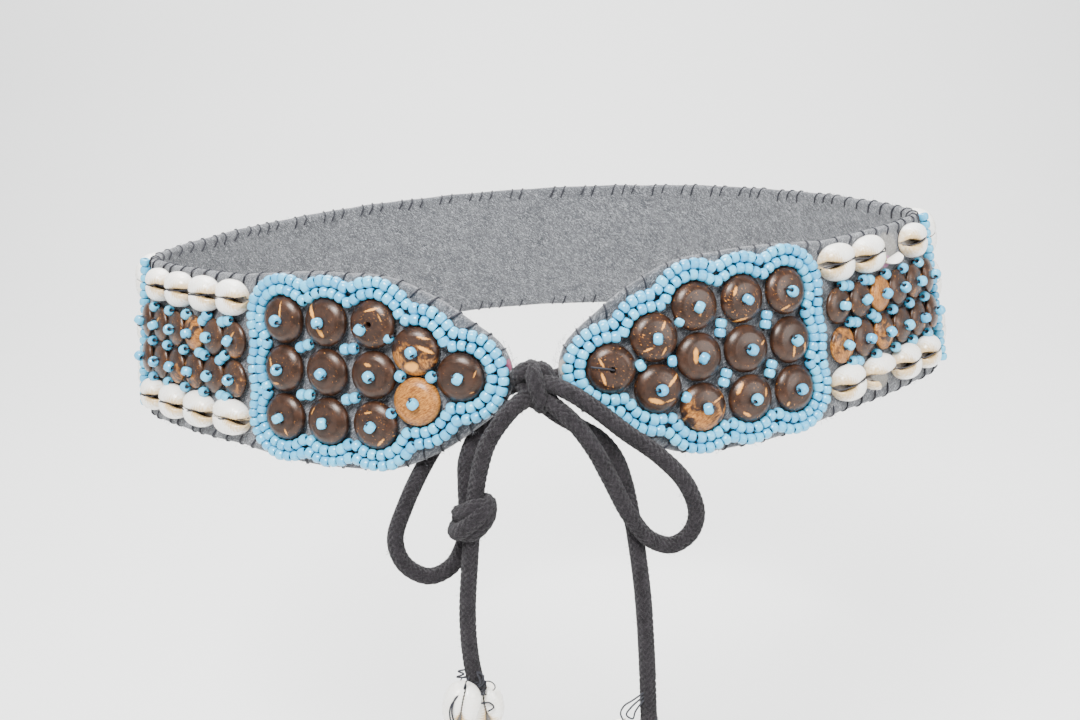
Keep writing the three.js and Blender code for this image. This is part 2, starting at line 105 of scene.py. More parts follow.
class Finish:
    """A procedural material. Its places and sizes are in millimetres."""

    def __init__(self, name, slot=None):
        self.slot = slot
        self.material = bpy.data.materials.new(name)
        self.material.use_nodes = True
        self.tree = self.material.node_tree
        self.shader = next(n for n in self.tree.nodes if n.type == "BSDF_PRINCIPLED")

    def feed(self, socket, value):
        if isinstance(value, Value):
            self.tree.links.new(value.socket, socket)
        elif socket.type == "RGBA" and len(value) == 3:
            socket.default_value = (*value, 1)
        else:
            socket.default_value = value

    def node(self, kind, sockets, result=0, **settings):
        node = self.tree.nodes.new("ShaderNode" + kind)
        for key, setting in settings.items():
            setattr(node, key, setting)
        for key, value in sockets.items():
            self.feed(node.inputs[key], value)
        return Value(self, node.outputs[result])

    def space(self):
        place = self.node("TexCoord", {}, result="Object")
        return self.node("VectorMath", {0: place, "Scale": 1 / mm}, operation="SCALE")

    def own(self):
        return self.node("Attribute", {}, result="Vector", attribute_name="own")

    def tone(self):
        return self.node("Attribute", {}, result="Fac", attribute_name="tone")

    def parts(self, place):
        split = self.node("SeparateXYZ", {0: place})
        return [Value(self, socket) for socket in split.socket.node.outputs]

    def stretched(self, place, scale, turn=0.0):
        sockets = {"Vector": place, "Scale": scale, "Rotation": (0, 0, turn)}
        return self.node("Mapping", sockets, vector_type="TEXTURE")

    def cloud(self, place, size, detail=3.0, rough=0.55, warp=0.0):
        sockets = {"Vector": place, "Scale": 1 / size, "Detail": detail, "Roughness": rough}
        return self.node("TexNoise", {**sockets, "Distortion": warp})

    def step(self, value, low, high):
        sockets = {"Value": value, "From Min": low, "From Max": high}
        return self.node("MapRange", sockets, interpolation_type="SMOOTHSTEP")

    def blend(self, share, first, second):
        return self.node("Mix", {0: share, 6: first, 7: second}, result=2, data_type="RGBA")

    def relief(self, height, depth, strength=1.0):
        sockets = {"Height": height, "Distance": depth * mm, "Strength": strength}
        return self.node("Bump", sockets)

    def paint(self, sockets):
        for key, value in sockets.items():
            self.feed(self.shader.inputs[key], value)
        return self


floor_drop = 260
sweep_start = 700
sweep_radius = 900
sweep_length = sweep_radius * math.pi / 2
floor_reach = 14000
floor_width = 36000
floor_steps = 120

studio_paper = Finish("studio_paper")
paper_grain = studio_paper.cloud(studio_paper.space(), 400)
studio_paper.paint({
    "Base Color": studio_paper.blend(paper_grain, (0.86, 0.86, 0.85), (0.89, 0.89, 0.88)),
    "Roughness": 0.9,
    "Specular IOR Level": 0.1,
})

floor_mesh = bmesh.new()
bmesh.ops.create_grid(floor_mesh, x_segments=2, y_segments=floor_steps, size=1)
for vert in floor_mesh.verts:
    along = (vert.co.y + 1) / 2 * (floor_reach + sweep_start + sweep_length) - floor_reach
    turn = min(max(along - sweep_start, 0) / sweep_radius, math.pi / 2)
    back = min(along, sweep_start) + sweep_radius * math.sin(turn)
    rise = sweep_radius * (1 - math.cos(turn))
    if along - sweep_start >= sweep_length - 1:
        rise += floor_reach
    vert.co = Vector((vert.co.x * floor_width / 2, back, rise - floor_drop)) * mm
floor_data = bpy.data.meshes.new("floor")
floor_mesh.to_mesh(floor_data)
floor_mesh.free()
floor_data.shade_smooth()
floor_data.materials.append(studio_paper.material)
floor = bpy.data.objects.new("floor", floor_data)
scene.collection.objects.link(floor)

studio_lights = {
    "light_above": {"place": (-150, -620, 760), "size": 420, "watts": 27},
    "light_side": {"place": (750, -600, 300), "size": 600, "watts": 7},
    "light_behind": {"place": (-200, 600, 800), "size": 700, "watts": 9},
    "light_for_paper": {"place": (0, 500, 1500), "size": 900, "watts": 45, "aim": (0, 1500, 150)},
}
for name, light in studio_lights.items():
    light_data = bpy.data.lights.new(name, "AREA")
    light_data.shape = "DISK"
    light_data.size = light["size"] * mm
    light_data.energy = light["watts"]
    lamp = bpy.data.objects.new(name, light_data)
    lamp.location = Vector(light["place"]) * mm
    aim = Vector(light.get("aim", (0, 0, 0))) - Vector(light["place"])
    lamp.rotation_euler = aim.to_track_quat("-Z", "Y").to_euler()
    scene.collection.objects.link(lamp)

surround = bpy.data.worlds.new("surround")
surround.use_nodes = True
backdrop = surround.node_tree.nodes["Background"]
backdrop.inputs["Color"].default_value = (0.94, 0.97, 1.0, 1)
backdrop.inputs["Strength"].default_value = 0.80
scene.world = surround

# Felt band
# A strap of grey wool felt 3 mm thick, cut by hand with two rounded points, laid round the waist.
# The ring is four arcs a side: a short front, a flat panel, a tight side and the back.
front_reach = 9.3
front_turn = math.radians(6.5)
panel_radius = 221
side_radius = 26
side_lead = 11
side_end = math.radians(109)
flare = math.radians(9.3)
felt_thickness = 3.0
band_half_height = 30.3
disc_diameter = 16.0
disc_radius = disc_diameter / 2
seat_gap = 0.3
row_gap = 0.6
column_gap = 1.2
slant_gap = 0.8
border_width = 7.8
felt_margin = 0.7
row_pitch = disc_diameter + row_gap
column_pitch = disc_diameter + column_gap
slant_step = math.sqrt((disc_diameter + slant_gap) ** 2 - (row_pitch / 2) ** 2)
border_outer = disc_radius + border_width
tip_half_gap = 7.3
tip_margin = 0.6
tip_disc_at = tip_half_gap + tip_margin + border_outer
columns_at = [tip_disc_at + k * slant_step for k in range(3)]
columns_at += [columns_at[2] + column_pitch, columns_at[2] + 2 * column_pitch]
panel_side = columns_at[4] + border_outer
panel_half_height = row_pitch + border_outer + felt_margin
field_start = panel_side + felt_margin
small_diameter = 13.0
small_overlap = 2.1
small_pitch = small_diameter - small_overlap
small_count = 6
field_end = field_start + small_diameter + (small_count - 1) * small_pitch
panel_arc = field_end - side_lead - front_reach
seat = felt_thickness / 2 + seat_gap


def arc_end(x, y, turn, radius, sweep):
    end = turn + sweep
    along, up = math.sin(end) - math.sin(turn), math.cos(turn) - math.cos(end)
    return x + radius * along, y + radius * up, end


waist_arcs = []
arc_from = (0, 0, 0)
for arc_radius, sweep in [
    (front_reach / front_turn, front_turn),
    (panel_radius, panel_arc / panel_radius),
    (side_radius, side_end - front_turn - panel_arc / panel_radius),
    (None, math.pi - side_end),
]:
    arc_radius = arc_radius or arc_from[0] / math.sin(side_end)
    waist_arcs.append((arc_from, arc_radius, arc_radius * sweep))
    arc_from = arc_end(*arc_from, arc_radius, sweep)
half_length = sum(length for _, _, length in waist_arcs)
front_y = -arc_from[1] / 2


def on_ring(s):
    """Place and heading of the ring at a distance from the front; the left side is below zero."""
    rest = abs(s)
    for start, radius, length in waist_arcs:
        if rest <= length or length == waist_arcs[-1][2]:
            break
        rest -= length
    x, y, turn = arc_end(*start, radius, min(rest, length) / radius)
    return x, y + front_y, turn


def belt_axes(s):
    """Directions along the band, up it and out of it."""
    turn = on_ring(s)[2]
    hand = -1 if s < 0 else 1
    level = Vector((hand * math.sin(turn), -math.cos(turn), 0))
    up = Vector((0, 0, 1))
    upward = up * math.cos(flare) - level * math.sin(flare)
    outward = level * math.cos(flare) + up * math.sin(flare)
    return Vector((math.cos(turn), hand * math.sin(turn), 0)), upward, outward


def on_belt(s, h, t):
    x, y, _ = on_ring(s)
    _, upward, outward = belt_axes(s)
    return Vector((-x if s < 0 else x, y, 0)) + upward * h + outward * t


def belt_matrix(s, h, t):
    along, upward, outward = belt_axes(s)
    turn = Matrix((along, upward, outward)).transposed().to_4x4()
    return Matrix.Translation(on_belt(s, h, t)) @ turn


def skin(bm, rings, sides, place):
    """A grid wrapped into a closed skin. place(ring, corner) gives a point and its own coordinates."""
    own = bm.verts.layers.float_vector.get("own") or bm.verts.layers.float_vector.new("own")
    grid = bmesh.ops.create_grid(bm, x_segments=rings - 1, y_segments=sides, size=1)["verts"]
    for vert in grid:
        ring = round((vert.co.x + 1) / 2 * (rings - 1))
        corner = round((vert.co.y + 1) / 2 * sides) % sides
        vert.co, vert[own] = place(ring, corner)
    bmesh.ops.remove_doubles(bm, verts=grid, dist=1e-4)
    touching = {edge for vert in grid if vert.is_valid for edge in vert.link_edges}
    bmesh.ops.holes_fill(bm, edges=[edge for edge in touching if edge.is_boundary], sides=0)


def finish_piece(name, bm, finish, replaced=(), crease=40):
    """Makes a bmesh in millimetres a smooth piece of the belt, in metres."""
    bmesh.ops.recalc_face_normals(bm, faces=bm.faces)
    mesh = bpy.data.meshes.new(name)
    bm.to_mesh(mesh)
    bm.free()
    mesh.transform(Matrix.Scale(mm, 4))
    mesh.materials.append(finish.material)
    mesh.shade_smooth()
    mesh.set_sharp_from_angle(angle=math.radians(crease))
    piece = bpy.data.objects.new(name, mesh)
    scene.collection.objects.link(piece)
    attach(piece, "root")
    if replaced:
        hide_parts(*replaced)
    return piece


def rounded(points, steps):
    """A smooth line through points, with even steps between each two of them."""
    ends = [points[0] * 2 - points[1], *points, points[-1] * 2 - points[-2]]
    line = []
    for before, here, there, after in zip(ends, ends[1:], ends[2:], ends[3:]):
        runs = [here - before, there - here, after - there]
        spans = [run.length ** 0.5 for run in runs]
        leave = runs[0] / spans[0] - (there - before) / (spans[0] + spans[1]) + runs[1] / spans[1]
        reach = runs[1] / spans[1] - (after - here) / (spans[1] + spans[2]) + runs[2] / spans[2]
        leave, reach = leave * spans[1], reach * spans[1]
        dip = there * 3 - here * 3 - leave * 2 - reach
        bend = (here - there) * 2 + leave + reach
        for u in [k / steps for k in range(steps)]:
            line.append(here + leave * u + dip * u ** 2 + bend * u ** 3)
    return [*line, points[-1]]


tip_radius = tip_disc_at - tip_half_gap
tip_angles = [176, 170, 160, 147, 134]
felt_outline = [
    (0.00, 0.62), (0.12, 0.79), (0.25, 0.925), (0.40, 0.99), (0.50, 1.00),
    (0.62, 1.00), (0.75, 0.99), (0.88, 0.965), (1.00, 0.935),
]
front_step = 2.4
back_step = 5.0
fine_until = field_end + 60
shoulder = 5
edge_points = [
    Vector((tip_disc_at, 0)) + Vector((math.cos(angle), math.sin(angle))) * tip_radius
    for angle in map(math.radians, tip_angles)
]
edge_points += [
    Vector((tip_disc_at + (panel_side - tip_disc_at) * along, panel_half_height * up))
    for along, up in felt_outline
]
edge_points.append(Vector((panel_side + shoulder, band_half_height)))
felt_edge = rounded(edge_points, 5)
while felt_edge[-1].x < half_length - 0.1:
    reach = felt_edge[-1].x + (front_step if felt_edge[-1].x < fine_until else back_step)
    felt_edge.append(Vector((min(reach, half_length), band_half_height)))
edge_wave = 0.45
edge_wave_length = 14
for point in felt_edge[2:]:
    point.y += edge_wave * noise.noise(Vector((point.x / edge_wave_length, 0, 0)))
felt_columns = [(point.x, point.y) for point in felt_edge]
felt_columns += [(-point.x, point.y) for point in reversed(felt_edge[:-1])]

felt_rounding = 1.3
face_steps = 26
rounding_steps = 4
felt_section = []
for face in (1, -1):
    felt_section += [(face * (2 * k / face_steps - 1), 0, face) for k in range(face_steps + 1)]
    for angle in [math.pi * k / rounding_steps for k in range(1, rounding_steps)]:
        felt_section.append((face, face * math.sin(angle), face * math.cos(angle)))
surface_wave = 0.28
surface_wave_length = 11


def felt_corner(ring, corner):
    s, half = felt_columns[ring]
    share, round_out, side = felt_section[corner]
    rounding = min(felt_rounding, half)
    h = share * (half - rounding) + round_out * rounding
    t = side * felt_thickness / 2
    wave = surface_wave * noise.noise(Vector((s, h, 0)) / surface_wave_length)
    return on_belt(s, h, t + wave), Vector((s, h, t))


felt = Finish("grey_felt", "felt")
felt_place = felt.own()
felt_mottle = felt.cloud(felt_place, 7.0, detail=5, rough=0.65)
felt_along = felt.stretched(felt_place, (2.4, 0.8, 1), 0.7)
felt_fibres = felt.cloud(felt_along, 0.85, detail=4, rough=0.7, warp=2.0)
felt_upward = felt.stretched(felt_place, (0.8, 2.2, 1), -0.4)
felt_cross = felt.cloud(felt_upward, 0.75, detail=4, rough=0.7, warp=2.0)
felt_wool = felt.blend(felt.step(felt_mottle, 0.30, 0.70), (0.050, 0.053, 0.060), (0.094, 0.098, 0.107))
felt_pale = felt.step(felt_fibres, 0.50, 0.62) * 0.85
felt_wool = felt.blend(felt_pale, felt_wool, (0.34, 0.35, 0.37))
felt_dark = felt.step(felt_cross, 0.50, 0.62) * 0.8
felt_wool = felt.blend(felt_dark, felt_wool, (0.012, 0.013, 0.017))
felt_height = felt_fibres * 0.6 + felt_cross * 0.5 + felt_mottle * 0.8
felt_s, felt_h, felt_out = felt.parts(felt_place)
felt_front = felt.step(felt_out, 0.0, 0.5)
felt_marks = [
    {"at": (142.6, 22.8), "size": (6.0, 5.5), "share": 0.35, "colour": (0.40, 0.37, 0.31)},
    {"at": (140.2, 17.6), "size": (3.6, 2.2), "share": 0.9, "colour": (0.42, 0.17, 0.30)},
    {"at": (129.6, -23.4), "size": (5.4, 3.2), "share": 0.5, "colour": (0.40, 0.37, 0.31)},
    {"at": (8.6, 1.8), "size": (1.3, 3.0), "share": 0.7, "colour": (0.52, 0.48, 0.42)},
    {"at": (-8.3, 3.4), "size": (1.2, 2.2), "share": 0.8, "colour": (0.30, 0.055, 0.12)},
]
for mark in felt_marks:
    mark_s = (felt_s - mark["at"][0]) / mark["size"][0]
    mark_h = (felt_h - mark["at"][1]) / mark["size"][1]
    spread = mark_s * mark_s + mark_h * mark_h + (felt_mottle - 0.5) * 2.2
    share = felt.step(spread, 1.15, 0.5) * mark["share"] * felt_front
    felt_wool = felt.blend(share, felt_wool, mark["colour"])
felt.paint({
    "Base Color": felt_wool,
    "Roughness": 0.95,
    "Specular IOR Level": 0.15,
    "Sheen Weight": 0.25,
    "Sheen Roughness": 0.6,
    "Normal": felt.relief(felt_height, 0.55, 0.8),
})

band_mesh = bmesh.new()
skin(band_mesh, len(felt_columns), len(felt_section), felt_corner)
finish_piece("felt_strap", band_mesh, felt, ["felt_band"], crease=80)

# Edge stitches
# Dark thread whipped over both edges of the felt, slanting, about one stitch every 7 mm.
stitch_pitch = 7.2
stitch_thread = 0.66


def directions(points):
    """Each point of a line with its heading and two directions across it that don't twist."""
    stations = []
    side = None
    for k, point in enumerate(points):
        ahead = (points[min(k + 1, len(points) - 1)] - points[max(k - 1, 0)]).normalized()
        side = ahead.orthogonal() if side is None else side - ahead * side.dot(ahead)
        side.normalize()
        stations.append((point, ahead, side, ahead.cross(side)))
    return stations


def strand(bm, points, radius, sides, relief=None):
    """A round strand along a line. Its own coordinates are those of the strand laid straight."""
    stations = directions(points)
    lengths = [0.0]
    for here, there in zip(points, points[1:]):
        lengths.append(lengths[-1] + (there - here).length)

    def corner_place(ring, corner):
        point, _, side, across = stations[ring]
        angle = 2 * math.pi * corner / sides
        reach = radius + (relief(lengths[ring], angle) if relief else 0)
        flat = Vector((lengths[ring], reach * math.cos(angle), reach * math.sin(angle)))
        return point + side * flat.y + across * flat.z, flat

    skin(bm, len(points), sides, corner_place)


def keep_own(bm):
    """Keeps the places of a shape as its own coordinates."""
    own = bm.verts.layers.float_vector.new("own")
    for vert in bm.verts:
        vert[own] = vert.co


def shape_of(bm):
    """A small closed shape kept as a mesh with room for a tone, to be copied many times."""
    bm.verts.layers.float.new("tone")
    if not bm.verts.layers.float_vector.get("own"):
        keep_own(bm)
    bmesh.ops.recalc_face_normals(bm, faces=bm.faces)
    mesh = bpy.data.meshes.new("shape")
    bm.to_mesh(mesh)
    bm.free()
    return mesh


def gather(bm, shape, places):
    """Adds a copy of a shape at each place, with the tone given there."""
    for place, tone in places:
        copy = shape.copy()
        copy.transform(place)
        copy.attributes["tone"].data.foreach_set("value", [tone] * len(copy.vertices))
        bm.from_mesh(copy)
        bpy.data.meshes.remove(copy)
    return bm


thread = Finish("dark_thread", "cord")
thread_ply = thread.cloud(thread.stretched(thread.own(), (1.5, 0.2, 0.2)), 1.0, detail=2)
thread.paint({
    "Base Color": thread.blend(thread_ply, (0.003, 0.003, 0.006), (0.014, 0.015, 0.024)),
    "Roughness": 0.6,
    "Normal": thread.relief(thread_ply, 0.15),
})

stitch_line = [
    (-1.9, -4.4, 1.55), (-1.3, -3.0, 1.9), (-0.5, -1.0, 1.9), (0, 0.2, 0),
    (0.5, -1.0, -1.9), (1.3, -3.0, -1.9), (1.9, -4.4, -1.55),
]
stitch_mesh = bmesh.new()
strand(stitch_mesh, rounded([Vector(point) for point in stitch_line], 2), stitch_thread / 2, 6)
stitch_shape = shape_of(stitch_mesh)

random.seed(7)
stitch_places = []
for top in (1, -1):
    for hand in (1, -1):
        run = 0.0
        for here, there in zip(felt_edge[3:], felt_edge[4:]):
            run += (there - here).length
            if run < stitch_pitch:
                continue
            run -= stitch_pitch + random.uniform(-1.2, 1.2)
            heading = (there - here).normalized()
            along, upward, outward = belt_axes(hand * here.x)
            edge_way = along * heading.x * hand + upward * heading.y * top
            away = outward.cross(edge_way).normalized()
            away = away if away.dot(upward) * top > 0 else -away
            turn = Matrix((away.cross(outward), away, outward)).transposed().to_4x4()
            place = Matrix.Translation(on_belt(hand * here.x, top * here.y, 0)) @ turn
            slant = Matrix.Diagonal((random.uniform(0.7, 1.25), random.uniform(0.75, 1.1), 1, 1))
            stitch_places.append((place @ slant, random.random()))
stitches = gather(bmesh.new(), stitch_shape, stitch_places)
finish_piece("edge_stitches", stitches, thread)

# Large coconut discs
# Twelve to a panel: slices of coconut shell turned to a lens with a flat crown and a thread hole, then
# polished. Most are dark with tan flecks and streaks of husk fibre, a few are tan over half their face.
disc_profile = [
    (0.90, 0.50), (1.20, 0.10), (3.00, 0.00), (6.40, 0.00), (7.45, 0.45), (7.93, 1.20), (8.00, 1.90),
    (7.88, 2.45), (7.35, 3.20), (6.45, 3.92), (5.60, 4.36), (5.15, 4.50), (4.70, 4.52), (3.90, 4.70),
    (2.60, 4.90), (1.50, 4.97), (1.08, 4.86), (0.90, 4.50),
]
disc_steps = 44


def turned(profile, steps):
    """A closed outline spun round the upright axis."""
    bm = bmesh.new()
    corners = [bm.verts.new((radius, 0, height)) for radius, height in profile]
    lines = [bm.edges.new(pair) for pair in zip(corners, corners[1:] + corners[:1])]
    bmesh.ops.spin(
        bm, geom=corners + lines, axis=(0, 0, 1), cent=(0, 0, 0), angle=2 * math.pi, steps=steps,
        use_merge=True,
    )
    bmesh.ops.remove_doubles(bm, verts=bm.verts, dist=1e-4)
    return bm


dark_shell = ((0.0120, 0.0052, 0.0030), (0.038, 0.0160, 0.0088))


def coconut(name, tan=0.0, flecks=0.5, streaks=(), seed=0.0, slot="coconut", browns=dark_shell):
    """Polished coconut shell. Each streak is its middle, angle, length, width and brightness."""
    nut = Finish(name, slot)
    place = nut.own()
    x, y, _ = nut.parts(place)
    shifted = nut.node("VectorMath", {0: place, 1: (seed * 17, seed * 31, seed * 7)}, operation="ADD")
    out = (x * x + y * y) ** 0.5
    patches = nut.cloud(shifted, 3.4, detail=4, warp=0.6)
    grain = nut.cloud(nut.stretched(shifted, (0.35, 1.8, 1), seed * 5), 0.7, detail=3)
    dots = nut.cloud(nut.stretched(shifted, (0.55, 1.2, 1), seed * 3), 0.75, detail=2, warp=0.5)
    wood = nut.blend(nut.step(patches, 0.35, 0.7), *browns)
    wood = nut.blend(nut.step(grain, 0.5, 0.8) * 0.45, wood, (0.088, 0.036, 0.017))
    # Painted sheen: the flat crown round the hole is painted a little greyer and lighter, as its satin
    # sheen.
    crown_sheen = nut.step(out, 5.6, 4.6) * 0.35
    wood = nut.blend(crown_sheen, wood, (0.040, 0.026, 0.021))
    husk = nut.blend(nut.step(grain, 0.35, 0.7), (0.150, 0.048, 0.010), (0.47, 0.195, 0.038))
    if tan:
        patch = nut.step(patches + (y * -0.018) + (tan - 0.5) * 0.9, 0.42, 0.60)
        wood = nut.blend(patch, wood, husk)
    low, high = 0.74 - 0.10 * flecks, 0.80 - 0.08 * flecks
    wood = nut.blend(nut.step(dots, low, high) * 0.95, wood, (0.50, 0.185, 0.032))
    for at_x, at_y, angle, length, width, bright in streaks:
        cos, sin = math.cos(math.radians(angle)), math.sin(math.radians(angle))
        bent = (grain - 0.5) * 1.1
        along = ((x - at_x) * cos + (y - at_y) * sin) / (length / 2)
        aside = ((x - at_x) * -sin + (y - at_y) * cos + bent) / (width / 2)
        mark = nut.step(along * along + aside * aside, 1.25, 0.35) * bright
        wood = nut.blend(mark, wood, (0.74, 0.31, 0.055))
    rings = (out * 5.2).math("SINE")
    height = grain * 0.5 + dots * 0.4 + rings * 0.05
    return nut.paint({
        "Base Color": wood,
        "Roughness": nut.step(grain, 0.2, 0.9) * 0.14 + 0.30,
        "Specular IOR Level": 0.32,
        "Specular Tint": (0.97, 0.80, 0.70),
        "Coat Weight": 0.16,
        "Coat Roughness": 0.22,
        "Normal": nut.relief(height, 0.09, 0.9),
    })


# How tan a disc is, how strong its flecks are, and its streaks.
disc_looks = {
    "left_01": (0.0, 0.25, [(5.6, 1.6, 70, 2.6, 0.5, 0.6), (4.2, -4.5, 20, 1.8, 0.4, 0.4)]),
    "left_02": (0.42, 0.7, [
        (4.2, 0.9, -25, 6.0, 1.3, 1.0), (-0.6, -4.7, 10, 5.0, 3.6, 1.0),
        (3.6, 4.6, -12, 4.6, 0.7, 0.8),
    ]),
    "left_03": (1.0, 0.2, []),
    "left_04": (0.0, 0.9, [(1.0, 4.9, 15, 5.6, 0.8, 0.9), (4.0, 2.4, -60, 3.0, 0.5, 0.6)]),
    "left_05": (0.0, 0.4, [(-1.0, 3.6, -12, 2.8, 1.1, 0.7)]),
    "left_06": (0.0, 0.9, [(2.9, -5.2, 42, 4.2, 0.8, 0.9), (-1.2, 4.6, 10, 3.0, 0.6, 0.7)]),
    "left_07": (0.0, 0.6, [(-4.0, 3.4, -62, 6.4, 1.5, 1.0), (-0.7, -2.6, -58, 5.4, 1.8, 1.0)]),
    "left_08": (0.0, 0.5, []),
    "left_09": (0.0, 0.6, [(-4.6, 3.4, 62, 3.0, 0.6, 0.6)]),
    "left_10": (0.0, 0.7, [(0.9, 2.8, 88, 7.8, 0.7, 1.0)]),
    "left_11": (0.0, 0.8, [(-3.6, 1.8, -70, 3.6, 0.8, 0.7), (-1.4, -5.2, 0, 3.0, 0.8, 0.6)]),
    "left_12": (0.0, 0.6, [(2.0, -4.9, -70, 2.6, 0.7, 0.8)]),
    "right_01": (0.0, 0.9, [(-3.1, -2.6, -75, 4.6, 1.0, 1.0), (-3.4, 2.6, -65, 3.6, 0.8, 0.8)]),
    "right_02": (0.0, 1.0, [
        (2.7, 3.6, 58, 3.4, 0.9, 1.0), (-3.2, -3.4, 15, 3.4, 0.8, 0.9), (2.2, -4.6, 55, 3.2, 0.7, 0.9),
    ]),
    "right_03": (0.18, 0.7, [
        (4.6, 2.3, 42, 5.6, 1.1, 1.0), (-1.6, -3.6, -20, 5.6, 1.8, 0.9),
        (3.0, -4.0, 12, 4.0, 0.5, 0.8),
    ]),
    "right_04": (0.0, 1.0, [(0.4, -2.2, 85, 2.4, 0.6, 0.8)]),
    "right_05": (0.0, 0.6, [(-2.2, 0.9, 84, 5.4, 1.9, 0.95)]),
    "right_06": (0.45, 0.4, [(4.3, 2.0, 24, 4.4, 0.5, 0.8)]),
    "right_07": (0.0, 1.0, [(-4.0, 3.4, 62, 3.4, 1.2, 0.9), (-2.0, -6.4, 8, 5.0, 0.8, 0.8)]),
    "right_08": (0.0, 0.5, [(5.2, 1.4, 30, 2.2, 0.8, 0.8)]),
    "right_09": (0.0, 0.7, [
        (-4.6, 4.3, 55, 4.6, 1.3, 0.9), (-3.0, -4.6, -35, 3.4, 1.1, 0.9),
        (4.6, 1.6, 80, 3.2, 0.8, 0.6),
    ]),
    "right_10": (0.0, 1.0, [(-2.4, -5.4, 20, 3.6, 0.8, 0.8)]),
    "right_11": (0.0, 0.5, [(-0.9, -3.4, 85, 4.6, 0.9, 0.9), (4.0, -3.2, 85, 3.6, 0.8, 0.8)]),
    "right_12": (0.0, 0.7, [(-4.8, -4.4, 80, 1.6, 0.8, 0.8)]),
}
disc_rows = [[0], [0.5, -0.5], [1, 0, -1], [1, 0, -1], [1, 0, -1]]
disc_columns = [[(at, row * row_pitch) for row in rows] for at, rows in zip(columns_at, disc_rows)]
disc_places = [place for column in disc_columns for place in column]
hands = {"left": -1, "right": 1}
disc_lean = math.radians(3.5)

for side, hand in hands.items():
    for number, (s, h) in enumerate(disc_places, 1):
        label = f"{side}_{number:02d}"
        disc_mesh = turned(disc_profile, disc_steps)
        keep_own(disc_mesh)
        lean = Matrix.Rotation(random.uniform(-disc_lean, disc_lean), 4, "X")
        lean @= Matrix.Rotation(random.uniform(-disc_lean, disc_lean), 4, "Y")
        disc_mesh.transform(belt_matrix(hand * s, h, seat) @ lean)
        disc_finish = coconut(f"coconut_{label}", *disc_looks[label], seed=number + 12 * hand)
        finish_piece(f"disc_{label}", disc_mesh, disc_finish, [f"coco_disc_{label}"])

# Seed beads
# Opaque light blue glass, 4 mm across and 3 mm long with rounded ends. They are strung on dark thread
# in a double row that follows the discs, and sewn singly and in pairs between and on the discs.
bead_radius = 1.95
bead_hole = 0.62
bead_pitch = 3.14
bead_profile = [
    (bead_hole, -1.10), (1.15, -1.48), (1.68, -1.22), (1.95, -0.50),
    (1.95, 0.50), (1.68, 1.22), (1.15, 1.48), (bead_hole, 1.10),
]
bead_steps = 12
inner_row = disc_radius + 2.2
outer_row = border_outer - 1.9
notch_bend = 3.0
arc_step = 0.8
side_wave = 1.1
side_wave_steps = 16
row_height = seat + bead_radius - 0.1

blue_glass = Finish("blue_glass", "seed_beads")
glass_tone = blue_glass.tone()
glass_x, glass_y, _ = blue_glass.parts(blue_glass.own())
glass_out = (glass_x * glass_x + glass_y * glass_y) ** 0.5
glass_cloud = blue_glass.cloud(blue_glass.space(), 1.3, detail=2)
glass = blue_glass.blend(glass_tone, (0.020, 0.285, 0.535), (0.075, 0.450, 0.680))
glass = blue_glass.blend(glass_cloud * 0.35, glass, (0.19, 0.60, 0.80))
# Painted shade: the glass is painted dark blue in the thread hole and round its mouth.
glass = blue_glass.blend(blue_glass.step(glass_out, 1.0, 0.6), glass, (0.03, 0.10, 0.18))
blue_glass.paint({
    "Base Color": glass,
    "Roughness": 0.24,
    "Specular IOR Level": 0.5,
    "Subsurface Weight": 0.06,
    "Subsurface Radius": (0.0004, 0.0008, 0.001),
    "Coat Weight": 0.3,
    "Coat Roughness": 0.12,
    "Normal": blue_glass.relief(glass_cloud, 0.05, 0.6),
})
bead_shape = shape_of(turned(bead_profile, bead_steps))

upper_rim = [column[0] for column in disc_columns]
lower_rim = [column[-1] for column in disc_columns[1:]]
rim = [Vector(place) for place in (*upper_rim, disc_columns[-1][1], *reversed(lower_rim))]


def arc_points(middle, radius, start, sweep):
    count = max(2, round(abs(sweep) * radius / arc_step))
    angles = [start + sweep * k / count for k in range(count)]
    return [middle + Vector((math.cos(angle), math.sin(angle))) * radius for angle in angles]


def angle_of(direction):
    return math.atan2(direction.y, direction.x)


def scallops(reach, straight_side):
    """A closed line round the panel at a distance from the discs, rounded where it dips between them."""
    dips = []
    for disc, following in zip(rim, rim[1:] + rim[:1]):
        across = (following - disc) / 2
        out = Vector((-across.y, across.x)).normalized()
        if straight_side and abs(across.x) < 1e-6:
            dips.append((None, out))
        else:
            rise = math.sqrt((reach + notch_bend) ** 2 - across.length_squared)
            dips.append((disc + across + out * rise, out))
    line = []
    for k, disc in enumerate(rim):
        before, before_out = dips[k - 1]
        after, after_out = dips[k]
        start = angle_of(before - disc) if before else angle_of(before_out)
        end = angle_of(after - disc) if after else angle_of(after_out)
        line += arc_points(disc, reach, start, -((start - end) % (2 * math.pi)))
        following = rim[(k + 1) % len(rim)]
        if after:
            start = angle_of(disc - after)
            sweep = (angle_of(following - after) - start) % (2 * math.pi)
            line += arc_points(after, notch_bend, start, sweep)
        else:
            for share in [step / side_wave_steps for step in range(side_wave_steps + 1)]:
                dip = after_out * side_wave * (0.5 - 0.5 * math.cos(2 * math.pi * share))
                line.append(disc.lerp(following, share) + after_out * reach - dip)
    return line


def evenly(points, pitch):
    """Places and headings along a closed line, as near to a pitch apart as fills it."""
    loop = [*points, points[0]]
    lengths = [(there - here).length for here, there in zip(loop, loop[1:])]
    count = round(sum(lengths) / pitch)
    gap = sum(lengths) / count
    found = []
    rest = gap / 2
    for here, there, length in zip(loop, loop[1:], lengths):
        while rest < length:
            found.append((here.lerp(there, rest / length), (there - here).normalized()))
            rest += gap
        rest -= length
    return found


def bead_place(s, h, t, angle, lean=0.0, size=1.0):
    """A bead whose hole lies along the band at an angle, and leans up out of it."""
    turn = Matrix.Rotation(angle, 4, "Z") @ Matrix.Rotation(math.pi / 2 - lean, 4, "Y")
    return belt_matrix(s, h, t) @ turn @ Matrix.Scale(size, 4)


